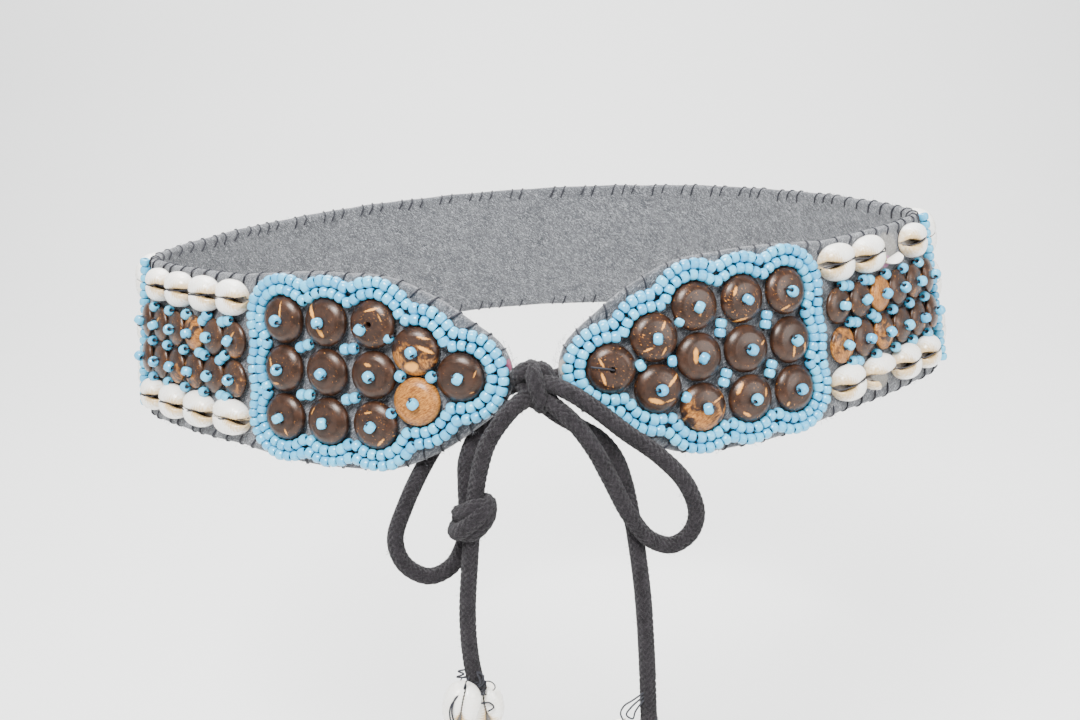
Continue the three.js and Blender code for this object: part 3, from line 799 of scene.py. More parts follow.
def row_bead(hand, place, heading):
    s, h = place
    angle = math.atan2(heading.y, heading.x * hand)
    height = row_height + random.uniform(-0.12, 0.22)
    wobble = math.radians(random.uniform(-9, 9))
    lean = math.radians(random.uniform(-8, 8))
    s += random.uniform(-0.12, 0.12)
    h += random.uniform(-0.12, 0.12)
    size = random.uniform(0.93, 1.03)
    return bead_place(hand * s, h, height, angle + wobble, lean, size), random.random()


row_thread = 0.42
for side, hand in hands.items():
    beads = bmesh.new()
    threads = bmesh.new()
    for reach, straight in ((inner_row, False), (outer_row, True)):
        line = scallops(reach, straight)
        gather(beads, bead_shape, [row_bead(hand, *spot) for spot in evenly(line, bead_pitch)])
        strand(threads, [on_belt(hand * p.x, p.y, row_height) for p in line[::2]], row_thread, 6)
    for row in (0.5, -0.5):
        spot = Vector((columns_at[4] + inner_row - 0.4, row * row_pitch))
        gather(beads, bead_shape, [row_bead(hand, spot, Vector((0.4, 1)))])
    finish_piece(f"border_beads_{side}", beads, blue_glass, [f"bead_border_{side}"])
    finish_piece(f"border_thread_{side}", threads, thread)

# Beads between and on the large discs
# A pair fills each gap between four discs and one bead each gap between three. Every disc is held by a
# bead over its hole, with the thread going through it and back down, but one has lost its bead.
pair_turns = {"left": 15, "right": 78}
pair_half_gap = 1.55
pair_size = 0.97
single_gaps = [
    (columns_at[0] + 0.64 * slant_step, 0.0),
    (columns_at[1] + 0.36 * slant_step, 0.0),
    (columns_at[1] + 0.62 * slant_step, row_pitch * 0.76),
    (columns_at[1] + 0.62 * slant_step, -row_pitch * 0.76),
]
bead_shifts = {"left_04": (-2.5, -1.3), "left_07": (-0.7, 0.2), "right_01": None}
bare_stitch = [
    (0.3, -0.2, 3.2), (0.1, -0.1, 4.9), (-1.2, 0.4, 5.35),
    (-3.4, 0.9, 5.15), (-5.6, 1.3, 4.75), (-6.8, 1.5, 4.0),
]
bare_thread = 0.34
loop_thread = 0.3
disc_height = 5.0
bead_sink = 0.75
single_lift = 0.5
single_lean = 0.3
bead_over_disc = seat + disc_height + bead_radius - bead_sink
bead_under_disc = seat + bead_radius

loop_line = [
    (-0.3, 0, -2.4), (-1.75, 0, -1.5), (-2.0, 0, -0.4), (-1.3, 0, 0),
    (1.3, 0, 0), (2.0, 0, -0.4), (1.75, 0, -1.5), (0.3, 0, -2.4),
]
loop_mesh = bmesh.new()
strand(loop_mesh, rounded([Vector(point) for point in loop_line], 2), loop_thread, 6)
loop_shape = shape_of(loop_mesh)


def sewn_bead(beads, loops, s, h, t, angle, lean=0.0, size=1.0):
    gather(beads, bead_shape, [(bead_place(s, h, t, angle, lean, size), random.random())])
    turn = Matrix.Rotation(angle, 4, "Z") @ Matrix.Rotation(-lean, 4, "Y")
    gather(loops, loop_shape, [(belt_matrix(s, h, t) @ turn, 0.5)])


for side, hand in hands.items():
    beads = bmesh.new()
    loops = bmesh.new()
    for number, (s, h) in enumerate(disc_places, 1):
        shift = bead_shifts.get(f"{side}_{number:02d}", (0, 0))
        if shift is None:
            continue
        angle = math.radians(random.uniform(-70, 60))
        lean = math.radians(random.uniform(-32, 32))
        sewn_bead(beads, loops, hand * s + shift[0], h + shift[1], bead_over_disc, angle, lean)
    for column in (2, 3):
        for row in (0.5, -0.5):
            middle = hand * (columns_at[column] + column_pitch / 2)
            turn = math.radians(pair_turns[side] + random.uniform(-14, 14))
            for end in (-pair_half_gap, pair_half_gap):
                s = middle + end * math.cos(turn)
                h = row * row_pitch + end * math.sin(turn)
                sewn_bead(beads, loops, s, h, bead_under_disc, turn, size=pair_size)
    for s, h in single_gaps:
        angle = math.radians(random.uniform(-40, 40))
        sewn_bead(beads, loops, hand * s, h, bead_under_disc + single_lift, angle, single_lean)
    if side == "right":
        over = [on_belt(tip_disc_at + along, up, seat + out) for along, up, out in bare_stitch]
        strand(loops, rounded(over, 5), bare_thread, 6)
    finish_piece(f"panel_beads_{side}", beads, blue_glass)
    finish_piece(f"panel_stitches_{side}", loops, thread)

# Small coconut discs
# Two rows of six thinner discs on each side, sewn so that each lies a little over the next one.
small_profile = [
    (0.55, 0.30), (1.20, 0.00), (5.30, 0.00), (6.20, 0.35), (6.50, 1.00), (6.42, 1.45), (5.70, 2.10),
    (4.60, 2.62), (3.90, 2.84), (3.00, 2.95), (1.60, 3.10), (0.85, 3.12), (0.55, 2.85),
]
small_steps = 32
small_lift = 0.6
small_rise = (small_diameter + 0.8) / 2
small_seat = seat + 0.5
small_tilt = math.radians(8)
small_rock = 0.05
small_flecks = 0.9
small_browns = ((0.0190, 0.0088, 0.0050), (0.058, 0.0265, 0.0140))
small_tans = {
    "left_top": [0.32, 0.0, 0.58, 0.28, 0.25, 0.0],
    "left_bottom": [0.34, 0.0, 0.36, 0.42, 0.0, 0.30],
    "right_top": [0.0, 0.30, 0.9, 0.0, 0.30, 0.0],
    "right_bottom": [0.6, 0.0, 0.5, 0.34, 0.0, 0.30],
}
small_streaks = {
    "left_top": (1.5, 2.0, 50, 3.4, 0.7, 0.8),
    "left_bottom": (-1.5, -2.2, 30, 3.6, 0.7, 0.8),
    "right_top": (2.6, 1.5, 15, 3.2, 0.8, 0.8),
    "right_bottom": (1.5, -3.0, 60, 3.8, 0.7, 0.9),
}


def field_place(side, column, row):
    """Centre of a small disc, or of a gap beside one, counted in pitches from the panel."""
    s = field_start + small_diameter / 2 + column * small_pitch
    return hands[side] * s, small_lift + row * small_rise


for side, hand in hands.items():
    for level, row in {"top": 1, "bottom": -1}.items():
        label = f"{side}_{level}"
        for k, tan in enumerate(small_tans[label]):
            s, h = field_place(side, k, row)
            disc_mesh = turned(small_profile, small_steps)
            keep_own(disc_mesh)
            tilt = Matrix.Rotation(hand * small_tilt, 4, "Y")
            tilt @= Matrix.Rotation(random.uniform(-small_rock, small_rock), 4, "X")
            disc_mesh.transform(belt_matrix(s, h, small_seat) @ tilt)
            streaks = [small_streaks[label]] if k % 2 == 0 else []
            look = coconut(
                f"small_coconut_{label}_{k + 1}", tan, small_flecks, streaks,
                seed=k * 3 + row + 40 * hand, slot="small_coconut", browns=small_browns,
            )
            replaced = [f"small_disc_row_{label}"] if k == 0 else []
            finish_piece(f"small_disc_{label}_{k + 1}", disc_mesh, look, replaced)

# Beads of the small-disc field
# One bead lies on each small disc, and beads fill the gaps above, between and below the two rows.
bead_over_small = seat + 3.6 + bead_radius - 0.6
field_half_gap = 1.45
field_bead_size = 0.96
field_gaps = [
    {"row": 0.0, "offset": 0.5, "height": 0.3, "pair_until": 2},
    {"row": 1.92, "offset": 0.3, "height": 0.6, "pair_until": 2},
    {"row": -1.98, "offset": 0.42, "height": 0.6, "pair_until": 1},
]
for side, hand in hands.items():
    beads = bmesh.new()
    loops = bmesh.new()
    for row in (1, -1):
        for k in range(small_count):
            s, h = field_place(side, k, row)
            angle = math.radians(random.uniform(-80, 80))
            lean = math.radians(random.uniform(-30, 30))
            sewn_bead(beads, loops, s, h, bead_over_small, angle, lean)
    for gaps in field_gaps:
        for k in range(small_count - 1):
            s, h = field_place(side, k + gaps["offset"], gaps["row"])
            angle = math.radians(random.uniform(-50, 10) * hand)
            t = bead_under_disc + gaps["height"]
            for end in (-field_half_gap, field_half_gap) if k < gaps["pair_until"] else (0,):
                away, up = end * math.cos(angle), end * math.sin(angle)
                sewn_bead(beads, loops, s + away, h + up, t, angle, size=field_bead_size)
    finish_piece(f"field_beads_{side}", beads, blue_glass)
    finish_piece(f"field_stitches_{side}", loops, thread)

# Upright seed bead lines
# One string of beads runs from edge to edge between the small discs and the large shells.
line_at = field_end + 0.5 + bead_radius
line_reach = band_half_height - 0.9
for side, hand in hands.items():
    beads = bmesh.new()
    threads = bmesh.new()
    count = round(2 * line_reach / bead_pitch)
    for k in range(count):
        h = line_reach * ((2 * k + 1) / count - 1)
        gather(beads, bead_shape, [row_bead(hand, Vector((line_at, h)), Vector((0, 1)))])
    shares = (-1, -0.5, 0, 0.5, 1)
    line = [on_belt(hand * line_at, line_reach * share, row_height) for share in shares]
    strand(threads, line, row_thread, 6)
    finish_piece(f"line_beads_{side}", beads, blue_glass, [f"seed_line_{side}"])
    finish_piece(f"line_thread_{side}", threads, thread)

# Cowries
# Money cowries sewn down on their backs, so that the toothed slit faces out. Rows of four run along
# both edges, three larger ones stand one above the other beyond the bead line, three hang on the tails.
cowrie_length = 15.2
cowrie_width = 13.0
cowrie_height = 6.4
narrowing = 0.4
strand_gap = 0.3
row_reach = small_rise + small_diameter / 2 + cowrie_width / 2
row_heights = {"top": small_lift + row_reach + 1.8, "bottom": small_lift - row_reach - 0.8}
shell_rows = {
    "left_top": [0.92, 0.96, 0.96, 0.86],
    "left_bottom": [1.12, 1.06, 1.00, 0.86],
    "right_top": [1.02, 1.06, 0.84, 0.92],
    "right_bottom": [1.00, 1.04, 1.00, 0.88],
}
missing_shell = ("right_top", 2)
broken_shell = ("right_bottom", 1)
outline_power = 2.5
ridge_power = 3.2
tooth_pitch = 0.95
tooth_height = 0.20
tooth_sway = 0.19
slit_half_gap = 0.26
slit_opening = 1.15
lip_section = [(0.0, 0.34), (0.9, 0.36), (1.0, 0.74), (1.0, 0.90)]
lip_roll = [(0.30, 0.955), (0.90, 0.995)]
dome_angles = [16, 30, 43, 55, 66, 76, 84]
foot_section = [(1.0, 0.16), (0.97, 0.05), (0.88, 0.0), (0.45, 0.0)]
slit_slant = 0.13
slit_wave = 0.06


def smooth_share(value, low, high):
    share = min(max((value - low) / (high - low), 0), 1)
    return share * share * (3 - 2 * share)


def cowrie(bm, length, width, height, open_end, place, seed=0.0, opening=slit_opening):
    """One shell, slit up, its long side along X. open_end is the end where the slit gapes."""
    rings = round(length / tooth_pitch * 4)
    half_count = len(lip_section) + len(lip_roll) + len(dome_angles) + len(foot_section)
    sides = 2 * half_count - 1

    def corner_place(ring, corner):
        u = (2 * ring / (rings - 1) - 1) * 0.992
        gaping = u * open_end
        half = width / 2 * (1 - abs(u) ** outline_power) ** 0.5 * (1 - 0.08 * gaping)
        rise = height * (1 - abs(u) ** ridge_power) ** 0.5 * (1 + 0.04 * gaping)
        x = u * length / 2
        side = 1 if corner < half_count else -1
        step = corner if corner < half_count else sides - corner
        centre = half * (slit_wave * math.sin(3.1 * u + seed * 6) - slit_slant * gaping)
        tooth = math.sin(2 * math.pi * x / tooth_pitch + (1.3 if side > 0 else 0.2) + seed)
        toothed = smooth_share(1 - abs(u), 0.06, 0.24)
        gap = slit_half_gap + opening * smooth_share(gaping, -0.15, 0.80)
        gap = min(gap + tooth_sway * tooth * toothed, 0.42 * half)
        roll = min(1, 0.28 * half / lip_roll[-1][0])
        if step < len(lip_section):
            share, up = lip_section[step]
            y, z = gap * share, rise * up
            z += tooth_height * tooth * toothed * (0.6 if step > 1 else 0)
        elif step < len(lip_section) + len(lip_roll):
            out, up = lip_roll[step - len(lip_section)]
            y = gap + out * roll
            z = rise * up + tooth_height * tooth * toothed * (1.0 - out)
        elif step < len(lip_section) + len(lip_roll) + len(dome_angles):
            angle = math.radians(dome_angles[step - len(lip_section) - len(lip_roll)])
            inner = gap + lip_roll[-1][0] * roll
            y = inner + (half - side * centre - inner) * math.sin(angle)
            z = rise * (0.16 + 0.84 * math.cos(angle) ** 0.72)
        else:
            share, up = foot_section[step - half_count + len(foot_section)]
            y = (half - side * centre) * share
            z = rise * up
        flat = Vector((x, side * y + centre, z))
        return place @ flat, Vector((gaping * length / 2, side * y / max(gap, 0.1), z))

    skin(bm, rings, sides, corner_place)


porcelain = Finish("cowrie_shell", "shell")
shell_x, shell_y, shell_z = porcelain.parts(porcelain.own())
shell_cloud = porcelain.cloud(porcelain.space(), 6.0, detail=3)
shell_fine = porcelain.cloud(porcelain.space(), 0.9, detail=3)
from_slit = shell_y.math("ABSOLUTE")
ivory = porcelain.blend(porcelain.step(shell_cloud, 0.35, 0.7), (0.90, 0.885, 0.84), (0.86, 0.82, 0.74))
lip_colour = porcelain.step(from_slit + (shell_fine - 0.5) * 3.5, 5.0, 1.0)
lip_colour = lip_colour * porcelain.step(shell_x + (shell_cloud - 0.5) * 9.0, -2.0, 2.0)
ivory = porcelain.blend(lip_colour * 0.9, ivory, (0.56, 0.36, 0.12))
# Painted shade, over some of the shell's own brownish colour: inside the slit the shell is painted
# grey-brown on the floor of the gap and near black on its walls.
slit_wall_shade = porcelain.step(from_slit, 0.70, 0.94)
slit_tint_and_shade = porcelain.blend(slit_wall_shade, (0.185, 0.160, 0.135), (0.050, 0.036, 0.026))
ivory = porcelain.blend(porcelain.step(from_slit, 1.02, 0.96), ivory, slit_tint_and_shade)
# Painted shade: the shell is painted greyer towards its foot, over the lowest millimetre.
ivory = porcelain.blend(porcelain.step(shell_z, 1.0, 0.1) * 0.35, ivory, (0.50, 0.46, 0.40))
porcelain.paint({
    "Base Color": ivory,
    "Roughness": porcelain.step(shell_fine, 0.3, 0.8) * 0.12 + 0.22,
    "Specular IOR Level": 0.5,
    "Subsurface Weight": 0.08,
    "Subsurface Radius": (0.0012, 0.001, 0.0008),
    "Coat Weight": 0.25,
    "Coat Roughness": 0.15,
    "Normal": porcelain.relief(shell_fine * 0.4 + shell_cloud, 0.12, 0.6),
})


def cut_away(bm, at, normal):
    """Takes off what lies ahead of a plane and closes the cut."""
    everything = [*bm.verts, *bm.edges, *bm.faces]
    bmesh.ops.bisect_plane(bm, geom=everything, plane_co=at, plane_no=normal, clear_outer=True)
    bmesh.ops.holes_fill(bm, edges=[edge for edge in bm.edges if edge.is_boundary], sides=0)


def join(bm, part, place):
    """Moves a part into another bmesh and ends it."""
    part.transform(place)
    mesh = bpy.data.meshes.new("part")
    part.to_mesh(mesh)
    part.free()
    bm.from_mesh(mesh)
    bpy.data.meshes.remove(mesh)


def shell_chip(length, width, hand, cuts):
    """What is left of a shell once each plane, a share of its length, width and height, has cut it."""
    chip = bmesh.new()
    cowrie(chip, length, width, cowrie_height, -hand, Matrix.Identity(4), seed=2.0)
    for at, normal in cuts:
        at = Vector((at[0] * length * hand, at[1] * width, at[2] * cowrie_height))
        cut_away(chip, at, Vector((normal[0] * hand, normal[1], normal[2])))
    return chip


broken_chips = [
    [((0, -0.02, 0), (0.10, -1, 0.12))],
    [((-0.30, 0, 0), (1, 0.35, 0.2)), ((0, -0.04, 0), (0.3, 1, 0.1)), ((0, -0.34, 0), (0.2, -1, 0))],
]
missing_chips = [
    [((0, -0.30, 0), (-0.15, 1, 0.5)), ((0, 0, 0.30), (0, 0.2, 1))],
    [((-0.40, 0, 0), (1, 0.2, 0.3)), ((0, 0, 0.36), (0, 0, 1)), ((0, 0.30, 0), (0.2, 1, 0))],
]
shell_cuts = {missing_shell: missing_chips, broken_shell: broken_chips}
row_openings = {"left": 0.72, "right": 1.15}
shell_lean = 4
sewing_thread = 0.26
sewing_height = 0.94
sewing_steps = [-0.49, -0.42, -0.30, -0.14, 0.02, 0.18, 0.32, 0.43, 0.49]
random.seed(11)
shell_threads = bmesh.new()
for row, lengths in shell_rows.items():
    side, level = row.split("_")
    hand = hands[side]
    start = field_start
    for k, share in enumerate(lengths):
        length = cowrie_length * share
        width = cowrie_width * (1 - narrowing * max(0, 1 - share))
        place = belt_matrix(hand * (start + length / 2), row_heights[level], seat)
        lean = Matrix.Rotation(math.radians(random.uniform(-shell_lean, shell_lean)), 4, "Z")
        sewing_line = []
        for along in sewing_steps:
            aside = random.uniform(-0.45, 0.45) - slit_slant * width / 2 * along * 2 * -hand
            ridge = cowrie_height * sewing_height * (1 - abs(2 * along) ** ridge_power) ** 0.5
            up = ridge + random.uniform(-0.45, 0.25)
            sewing_line.append(place @ Vector((along * length * hand, aside, up)))
        start += length + strand_gap
        shell_mesh = bmesh.new()
        if (row, k) in shell_cuts:
            for cuts in shell_cuts[row, k]:
                join(shell_mesh, shell_chip(length, width, hand, cuts), place @ lean)
        else:
            strand(shell_threads, rounded(sewing_line, 4), sewing_thread, 5)
            seed = k + 3.0 * hand
            size = (length, width, cowrie_height)
            cowrie(shell_mesh, *size, -hand, place @ lean, seed, row_openings[side])
        replaced = [] if (row, k) == missing_shell else [f"cowrie_{row}_{k + 1}"]
        finish_piece(f"shell_{row}_{k + 1}", shell_mesh, porcelain, replaced, crease=70)
finish_piece("shell_threads", shell_threads, thread)

column_length = 21.0
column_width = 19.6
column_height = 8.0
column_overlap = 0.4
column_at = line_at + bead_radius + 0.5 + column_length / 2
for side, hand in hands.items():
    column_mesh = bmesh.new()
    for k in (-1, 0, 1):
        place = belt_matrix(hand * column_at, k * (column_width - column_overlap), seat)
        size = (column_length, column_width, column_height)
        cowrie(column_mesh, *size, hand, place, seed=k + 0.4 * hand)
    finish_piece(f"column_shells_{side}", column_mesh, porcelain, [f"cowrie_column_{side}"], crease=70)

# Tie cord
# Soft braided cotton, 5.4 mm thick and charcoal, sewn behind the tips and tied in a bow. The two loops
# and the two tails hang from the knot, and a second knot is tied in the left tail.
cord_diameter = 5.4
cord_radius = cord_diameter / 2 - 0.05
braid_strands = 8
braid_cell = 2.2
braid_relief = 0.60
cord_step = 0.45
cord_sides = 40
cord_routes = {
    "loop_left": [
        (-0.6, -2.6, -3.6), (-4.0, -5.2, -4.0), (-13.5, -6.6, -8.2), (-24.0, -7.2, -14.6),
        (-32.6, -7.4, -22.6), (-38.8, -5.4, -30.8), (-45.8, 2.4, -42.4), (-49.6, 7.2, -52.6),
        (-46.9, 8.8, -60.9), (-39.4, 9.0, -65.4), (-32.0, 8.0, -62.8), (-27.2, 6.2, -55.4),
        (-25.6, 5.0, -46.0), (-25.2, 3.6, -36.4), (-24.6, 0.0, -28.4), (-20.6, -3.6, -21.0),
        (-12.4, -4.4, -15.4), (-4.4, -2.0, -9.6), (-0.8, 0.4, -6.2),
    ],
    "tail_left_upper": [
        (0.8, 2.0, -4.0), (-2.0, 4.6, -5.0), (-6.6, 7.8, -7.4), (-12.0, 10.2, -12.4),
        (-16.6, 11.2, -19.0), (-19.6, 12.2, -27.4), (-21.6, 12.8, -36.0), (-22.6, 13.4, -42.0),
    ],
    "tail_left_lower": [
        (-22.8, 13.6, -42.4), (-24.2, 13.8, -52.4), (-25.6, 14.6, -63.0), (-27.0, 16.0, -76.0),
        (-27.2, 17.2, -88.0), (-26.5, 18.0, -97.0), (-25.2, 18.2, -103.5),
    ],
    "loop_right": [
        (-0.2, 2.0, -1.4), (3.0, 4.6, -1.6), (9.6, 8.2, -3.6), (17.0, 10.6, -8.2), (27.1, 12.2, -16.8),
        (37.7, 13.0, -25.4), (45.6, 13.2, -35.0), (48.9, 13.2, -45.6), (46.5, 13.2, -52.9),
        (40.6, 13.6, -56.3), (33.6, 14.2, -53.4), (27.4, 14.6, -44.6), (22.0, 14.2, -32.4),
        (17.2, 13.4, -22.0), (11.4, 11.0, -13.6), (4.6, 6.6, -8.0), (1.0, 3.4, -5.2),
    ],
    "tail_right": [
        (0.4, 1.0, -8.4), (5.6, 1.8, -13.2), (12.2, 3.4, -17.2), (19.2, 5.0, -21.6),
        (24.0, 5.8, -28.2), (26.8, 6.6, -37.6), (28.6, 8.0, -49.2), (29.8, 11.6, -60.4),
        (30.7, 15.4, -74.4), (31.0, 18.4, -95.0), (30.8, 20.4, -121.0),
    ],
}


def front_place(point):
    x, out, z = point
    return Vector((x, front_y - out, z))


def cord_line(points, step):
    """A smooth line through the points of a route, in steps of about one length."""
    fine = rounded([front_place(point) for point in points], 24)
    lengths = [(there - here).length for here, there in zip(fine, fine[1:])]
    count = max(2, round(sum(lengths) / step))
    gap = sum(lengths) / count
    line, rest = [fine[0]], gap
    for here, there, length in zip(fine, fine[1:], lengths):
        while rest <= length and len(line) < count:
            line.append(here.lerp(there, rest / length))
            rest += gap
        rest -= length
    return [*line, fine[-1]]


def braid(along, angle):
    """Height of the plait: strands wind both ways and pass over and under each other."""
    one = braid_strands * angle / (2 * math.pi) + along / braid_cell
    other = braid_strands * angle / (2 * math.pi) - along / braid_cell
    over = (math.floor(one) + math.floor(other)) % 2
    across = (one if over else other) % 1
    return braid_relief * (0.35 - (2 * across - 1) ** 2)


cotton = Finish("charcoal_cotton", "cord")
cotton_x, cotton_y, cotton_z = cotton.parts(cotton.own())
cotton_angle = cotton_z.math("ARCTAN2", cotton_y) * (braid_strands / (2 * math.pi))
plait_one = cotton_angle + cotton_x / braid_cell
plait_other = cotton_angle - cotton_x / braid_cell
plait_over = (plait_one.math("FLOOR") + plait_other.math("FLOOR")).math("FLOORED_MODULO", 2)
plait_across = plait_one.math("FLOORED_MODULO", 1) * plait_over
plait_across = plait_across + plait_other.math("FLOORED_MODULO", 1) * (1 - plait_over)
plait_edge = (plait_across * 2 - 1).math("ABSOLUTE")
cotton_fluff = cotton.cloud(cotton.space(), 0.45, detail=4, warp=1.5)
cotton_patch = cotton.cloud(cotton.space(), 3.5, detail=3)
cotton_pale = cotton.step(cotton_patch, 0.3, 0.7)
# Painted shade: the cotton is painted darker along the creases where the plaited strands meet.
plait_crease_shade = cotton.step(plait_edge, 0.55, 1.0) * 0.55
cotton_fuzz = cotton.step(cotton_fluff, 0.56, 0.72) * 0.5
cotton_colour = cotton.blend(cotton_pale, (0.0105, 0.0088, 0.0104), (0.0210, 0.0180, 0.0208))
cotton_colour = cotton.blend(plait_crease_shade, cotton_colour, (0.0035, 0.0030, 0.0036))
cotton_colour = cotton.blend(cotton_fuzz, cotton_colour, (0.078, 0.068, 0.074))
cotton.paint({
    "Base Color": cotton_colour,
    "Roughness": 0.97,
    "Specular IOR Level": 0.1,
    "Sheen Weight": 0.12,
    "Sheen Roughness": 0.5,
    "Normal": cotton.relief(cotton_fluff * 0.9 + (1 - plait_edge) * 0.4, 0.5, 1.0),
})

# Knots
# The bow knot binds the loops, tails and the two sewn ends. The second knot is an overhand knot pulled
# tight. Both are wraps of the same cord pressed together, with the ends sewn behind the tips.
lead_routes = [
    [
        (-1.0, 0.2, -2.6), (-4.8, -3.6, -2.4), (-9.0, -5.7, -2.0), (-13.0, -6.4, -1.4),
        (-19.0, -7.2, -0.6), (-27.0, -8.7, 0.0),
    ],
    [
        (1.0, 0.2, -3.4), (4.8, -3.6, -3.2), (9.0, -5.7, -2.8), (13.0, -6.4, -2.2), (19.0, -7.2, -1.4),
        (27.0, -8.7, -0.6),
    ],
]
knot_wraps = {
    "bow_knot": [
        [(-1.6, -1.8, 1.0), (-1.3, 2.4, 2.6), (-0.6, 5.8, 1.2), (0.2, 7.0, -2.4), (0.9, 6.6, -6.2),
         (1.2, 3.8, -9.4), (0.8, -0.4, -9.2)],
        [(-6.4, -2.4, -3.6), (-5.6, 1.4, -0.4), (-3.8, 3.4, 2.2), (-1.8, 3.2, 2.2), (-0.6, 1.4, 0.2)],
        [(-4.4, 1.8, -2.6), (-2.6, 3.8, -5.0), (-0.6, 3.6, -7.8), (1.6, 1.2, -8.6)],
        [(1.0, -0.6, 1.4), (2.8, 2.0, 1.0), (3.8, 3.2, -1.6), (3.4, 2.6, -5.0), (1.6, 0.6, -6.6)],
    ],
    "stopper_knot": [
        [(-24.6, 8.6, -43.4), (-28.2, 11.2, -46.8), (-28.0, 15.6, -46.6), (-24.2, 17.8, -43.6),
         (-19.8, 16.8, -40.2), (-17.6, 13.2, -38.6), (-20.0, 9.6, -40.4)],
        [(-21.4, 10.0, -39.0), (-18.0, 12.4, -38.4), (-18.2, 15.2, -42.0), (-22.6, 16.2, -46.6),
         (-26.4, 13.6, -47.6), (-27.0, 10.4, -44.6)],
        [(-27.4, 12.8, -41.6), (-25.0, 15.4, -40.0), (-21.4, 15.2, -38.4), (-18.6, 12.0, -38.6)],
    ],
}
knot_cord = 2.75
for name, wraps in knot_wraps.items():
    knot_mesh = bmesh.new()
    for points in wraps:
        strand(knot_mesh, cord_line(points, cord_step), knot_cord, cord_sides, braid)
    for points in lead_routes if name == "bow_knot" else []:
        strand(knot_mesh, cord_line(points, cord_step), cord_radius, cord_sides, braid)
    finish_piece(name + "_cord", knot_mesh, cotton, [name], crease=180)

# Tail shells
# A cowrie is tied to each tail by dark thread, two on the left one.
tail_shells = {
    "tail_cowrie_left_a": {"at": (-31.0, 21.4, -106.0), "lean": 14, "turn": 0, "length": 1.12},
    "tail_cowrie_left_b": {"at": (-23.4, 13.4, -111.6), "lean": -8, "turn": 0, "length": 1.06},
    "tail_cowrie_right": {"at": (21.5, 20.2, -124.4), "lean": 9, "turn": -10, "length": 1.12},
}
tail_shell_width = 11.2
hung_tops = {}
facing = Matrix(((0, 1, 0), (0, 0, -1), (-1, 0, 0))).to_4x4()
for name, shell in tail_shells.items():
    upright = Matrix.Rotation(math.radians(shell["turn"]), 4, "Z")
    upright @= Matrix.Rotation(math.radians(shell["lean"]), 4, "Y")
    place = Matrix.Translation(front_place(shell["at"])) @ upright @ facing
    shell_mesh = bmesh.new()
    size = shell["length"]
    cowrie(shell_mesh, cowrie_length * size, tail_shell_width * size, cowrie_height, 1, place, seed=size)
    hung_tops[name] = place @ Vector((-0.40 * cowrie_length * size, 0, 0.55 * cowrie_height))
    finish_piece(name + "_shell", shell_mesh, porcelain, [name], crease=70)

# Loops and tails
# Each runs from its knot. The path and length of its route are worked out, but nothing uses them.
for name, points in cord_routes.items():
    line = cord_line(points, cord_step)
    cord_mesh = bmesh.new()
    strand(cord_mesh, line, cord_radius, cord_sides, braid)
    cord = finish_piece(f"cord_{name}", cord_mesh, cotton, [f"tie_{name}"], crease=180)
    path = [tuple(point * mm) for point in line]
    length = sum((there - here).length for here, there in zip(line, line[1:])) * mm

# Lint and thread ends
# Loose fibres stand off the cotton and the felt, and the dark thread that ties the tail shells is left
# in long curls.
lint_radius = 0.035
lint_length = 1.3
lint_bend = 1.2
cord_lint = 1500
felt_lint = 2600


def curl(bm, start, heading, length, bend, radius, steps=3):
    """A loose end that bends evenly one way."""
    axis = heading.orthogonal().normalized()
    axis.rotate(Quaternion(heading, random.uniform(0, 2 * math.pi)))
    points = [start]
    for k in range(steps):
        points.append(points[-1] + heading * (length / steps))
        heading = Quaternion(axis, bend / steps) @ heading
    strand(bm, points, radius, 3)


def any_way():
    return Vector([random.gauss(0, 1) for _ in range(3)]).normalized()


def fibre_place(start, heading):
    turn = heading.to_track_quat("X", "Z").to_matrix().to_4x4()
    spin = Matrix.Rotation(random.uniform(0, 2 * math.pi), 4, "X")
    size = Matrix.Diagonal((random.uniform(0.7, 1.6), random.uniform(0.4, 1.6), 1, 1))
    return Matrix.Translation(start) @ turn @ spin @ size, random.random()


random.seed(23)
fibre_mesh = bmesh.new()
curl(fibre_mesh, Vector((0, 0, 0)), Vector((1, 0, 0)), lint_length, lint_bend, lint_radius)
fibre = shape_of(fibre_mesh)
lint_routes = [*cord_routes.values(), *(points for wraps in knot_wraps.values() for points in wraps)]
spots = [spot for points in lint_routes for spot in directions(cord_line(points, 1.0))[1:-1]]
fibres = []
for point, ahead, side, across in random.choices(spots, k=cord_lint):
    angle = random.uniform(0, 2 * math.pi)
    out = side * math.cos(angle) + across * math.sin(angle)
    heading = (out + ahead * random.uniform(-2.0, 2.0) + any_way() * 0.4).normalized()
    fibres.append(fibre_place(point + out * (cord_diameter / 2 - 0.25), heading))
finish_piece("cotton_lint", gather(bmesh.new(), fibre, fibres), cotton)

fibres = []
for _ in range(felt_lint):
    s, half = random.choice(felt_columns[2:-2])
    s += random.uniform(-2, 2)
    top = random.choice((1, -1))
    face = random.choice((1, -1))
    h = top * (half - random.uniform(0, 1.5))
    _, upward, outward = belt_axes(s)
    start = on_belt(s, h, face * random.uniform(0, 0.4) * felt_thickness)
    heading = upward * top * random.uniform(0.2, 1.2) + outward * face * random.uniform(0, 0.8) + any_way()
    fibres.append(fibre_place(start, heading.normalized()))
finish_piece("wool_lint", gather(bmesh.new(), fibre, fibres), felt)

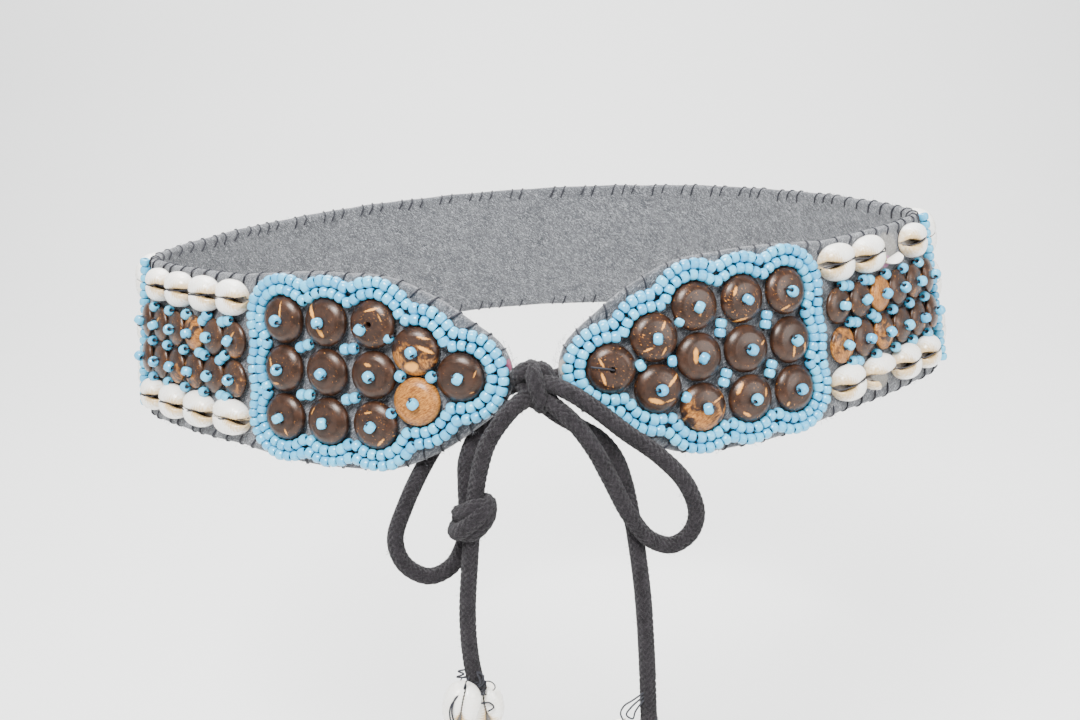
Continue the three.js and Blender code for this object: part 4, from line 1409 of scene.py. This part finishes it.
loose_ends = [
    [
        (-28.2, 22.6, -98.3), (-31.6, 26.6, -100.2), (-33.8, 28.2, -102.6), (-34.4, 28.6, -106.0),
        (-33.4, 29.4, -110.1), (-31.6, 29.8, -113.6),
    ],
    [
        (-30.0, 24.6, -99.0), (-32.6, 27.4, -101.0), (-33.6, 28.6, -104.6), (-32.4, 29.4, -110.1),
        (-30.4, 29.8, -115.0),
    ],
    [
        (-29.0, 20.8, -94.0), (-31.2, 21.2, -94.2), (-29.4, 21.4, -95.2), (-31.8, 21.4, -96.2),
        (-28.6, 20.8, -97.0),
    ],
    [
        (-25.9, 21.4, -100.9), (-23.4, 21.0, -99.3), (-23.4, 21.0, -96.2), (-25.0, 21.4, -94.8),
        (-24.2, 21.6, -98.4), (-25.4, 21.6, -102.0), (-23.0, 21.6, -103.2),
    ],
    [
        (-24.9, 21.0, -107.0), (-21.8, 20.4, -107.4), (-20.6, 20.4, -109.2), (-22.6, 21.0, -110.3),
    ],
    [
        (29.2, 21.6, -105.8), (25.4, 24.0, -106.8), (22.6, 24.4, -108.4), (21.3, 24.4, -111.2),
        (22.5, 24.4, -115.0),
    ],
    [
        (29.2, 21.8, -107.0), (24.9, 24.6, -108.9), (23.2, 24.6, -111.8), (25.2, 24.6, -113.4),
        (26.2, 24.6, -110.6), (29.2, 22.0, -108.2),
    ],
]
binding_turns = 6
binding_step = 0.1
binding_reach = 5
binding_thread = 0.22
tie_thread = 0.2
curl_thread = 0.27
loose_thread = 0.3
tail_curls = [((-25.4, 18.6, -102.0), 9), ((30.6, 20.4, -119.0), 8)]
thread_curls = bmesh.new()
for route, names in (
    ("tail_left_lower", ["tail_cowrie_left_a", "tail_cowrie_left_b"]),
    ("tail_right", ["tail_cowrie_right"]),
):
    line = cord_line(cord_routes[route], binding_step)
    stations = directions(line)[-round(binding_reach / binding_step):]
    bound = []
    for k, (point, _, side, across) in enumerate(stations):
        angle = 2 * math.pi * binding_turns * k / len(stations)
        out = side * math.cos(angle) + across * math.sin(angle)
        bound.append(point + out * (cord_diameter / 2 + random.uniform(0.0, 0.3)))
    strand(thread_curls, bound, binding_thread, 5)
    for name in names:
        for _ in range(3):
            middle = (line[-1] + hung_tops[name]) / 2 + any_way() * 1.2
            strand(thread_curls, rounded([line[-12], middle, hung_tops[name]], 6), tie_thread, 5)
for end, count in tail_curls:
    for _ in range(count):
        start = front_place(end) + any_way() * 2.2
        aside, forward = random.uniform(-1.2, 0.6), random.uniform(-0.8, 0)
        heading = Vector((aside, forward, random.uniform(-0.8, 0.8))).normalized()
        length, bend = random.uniform(5, 13), random.uniform(2.0, 6.0)
        curl(thread_curls, start, heading, length, bend, curl_thread, steps=14)
for points in loose_ends:
    strand(thread_curls, rounded([front_place(point) for point in points], 6), loose_thread, 6)
finish_piece("thread_curls", thread_curls, thread)
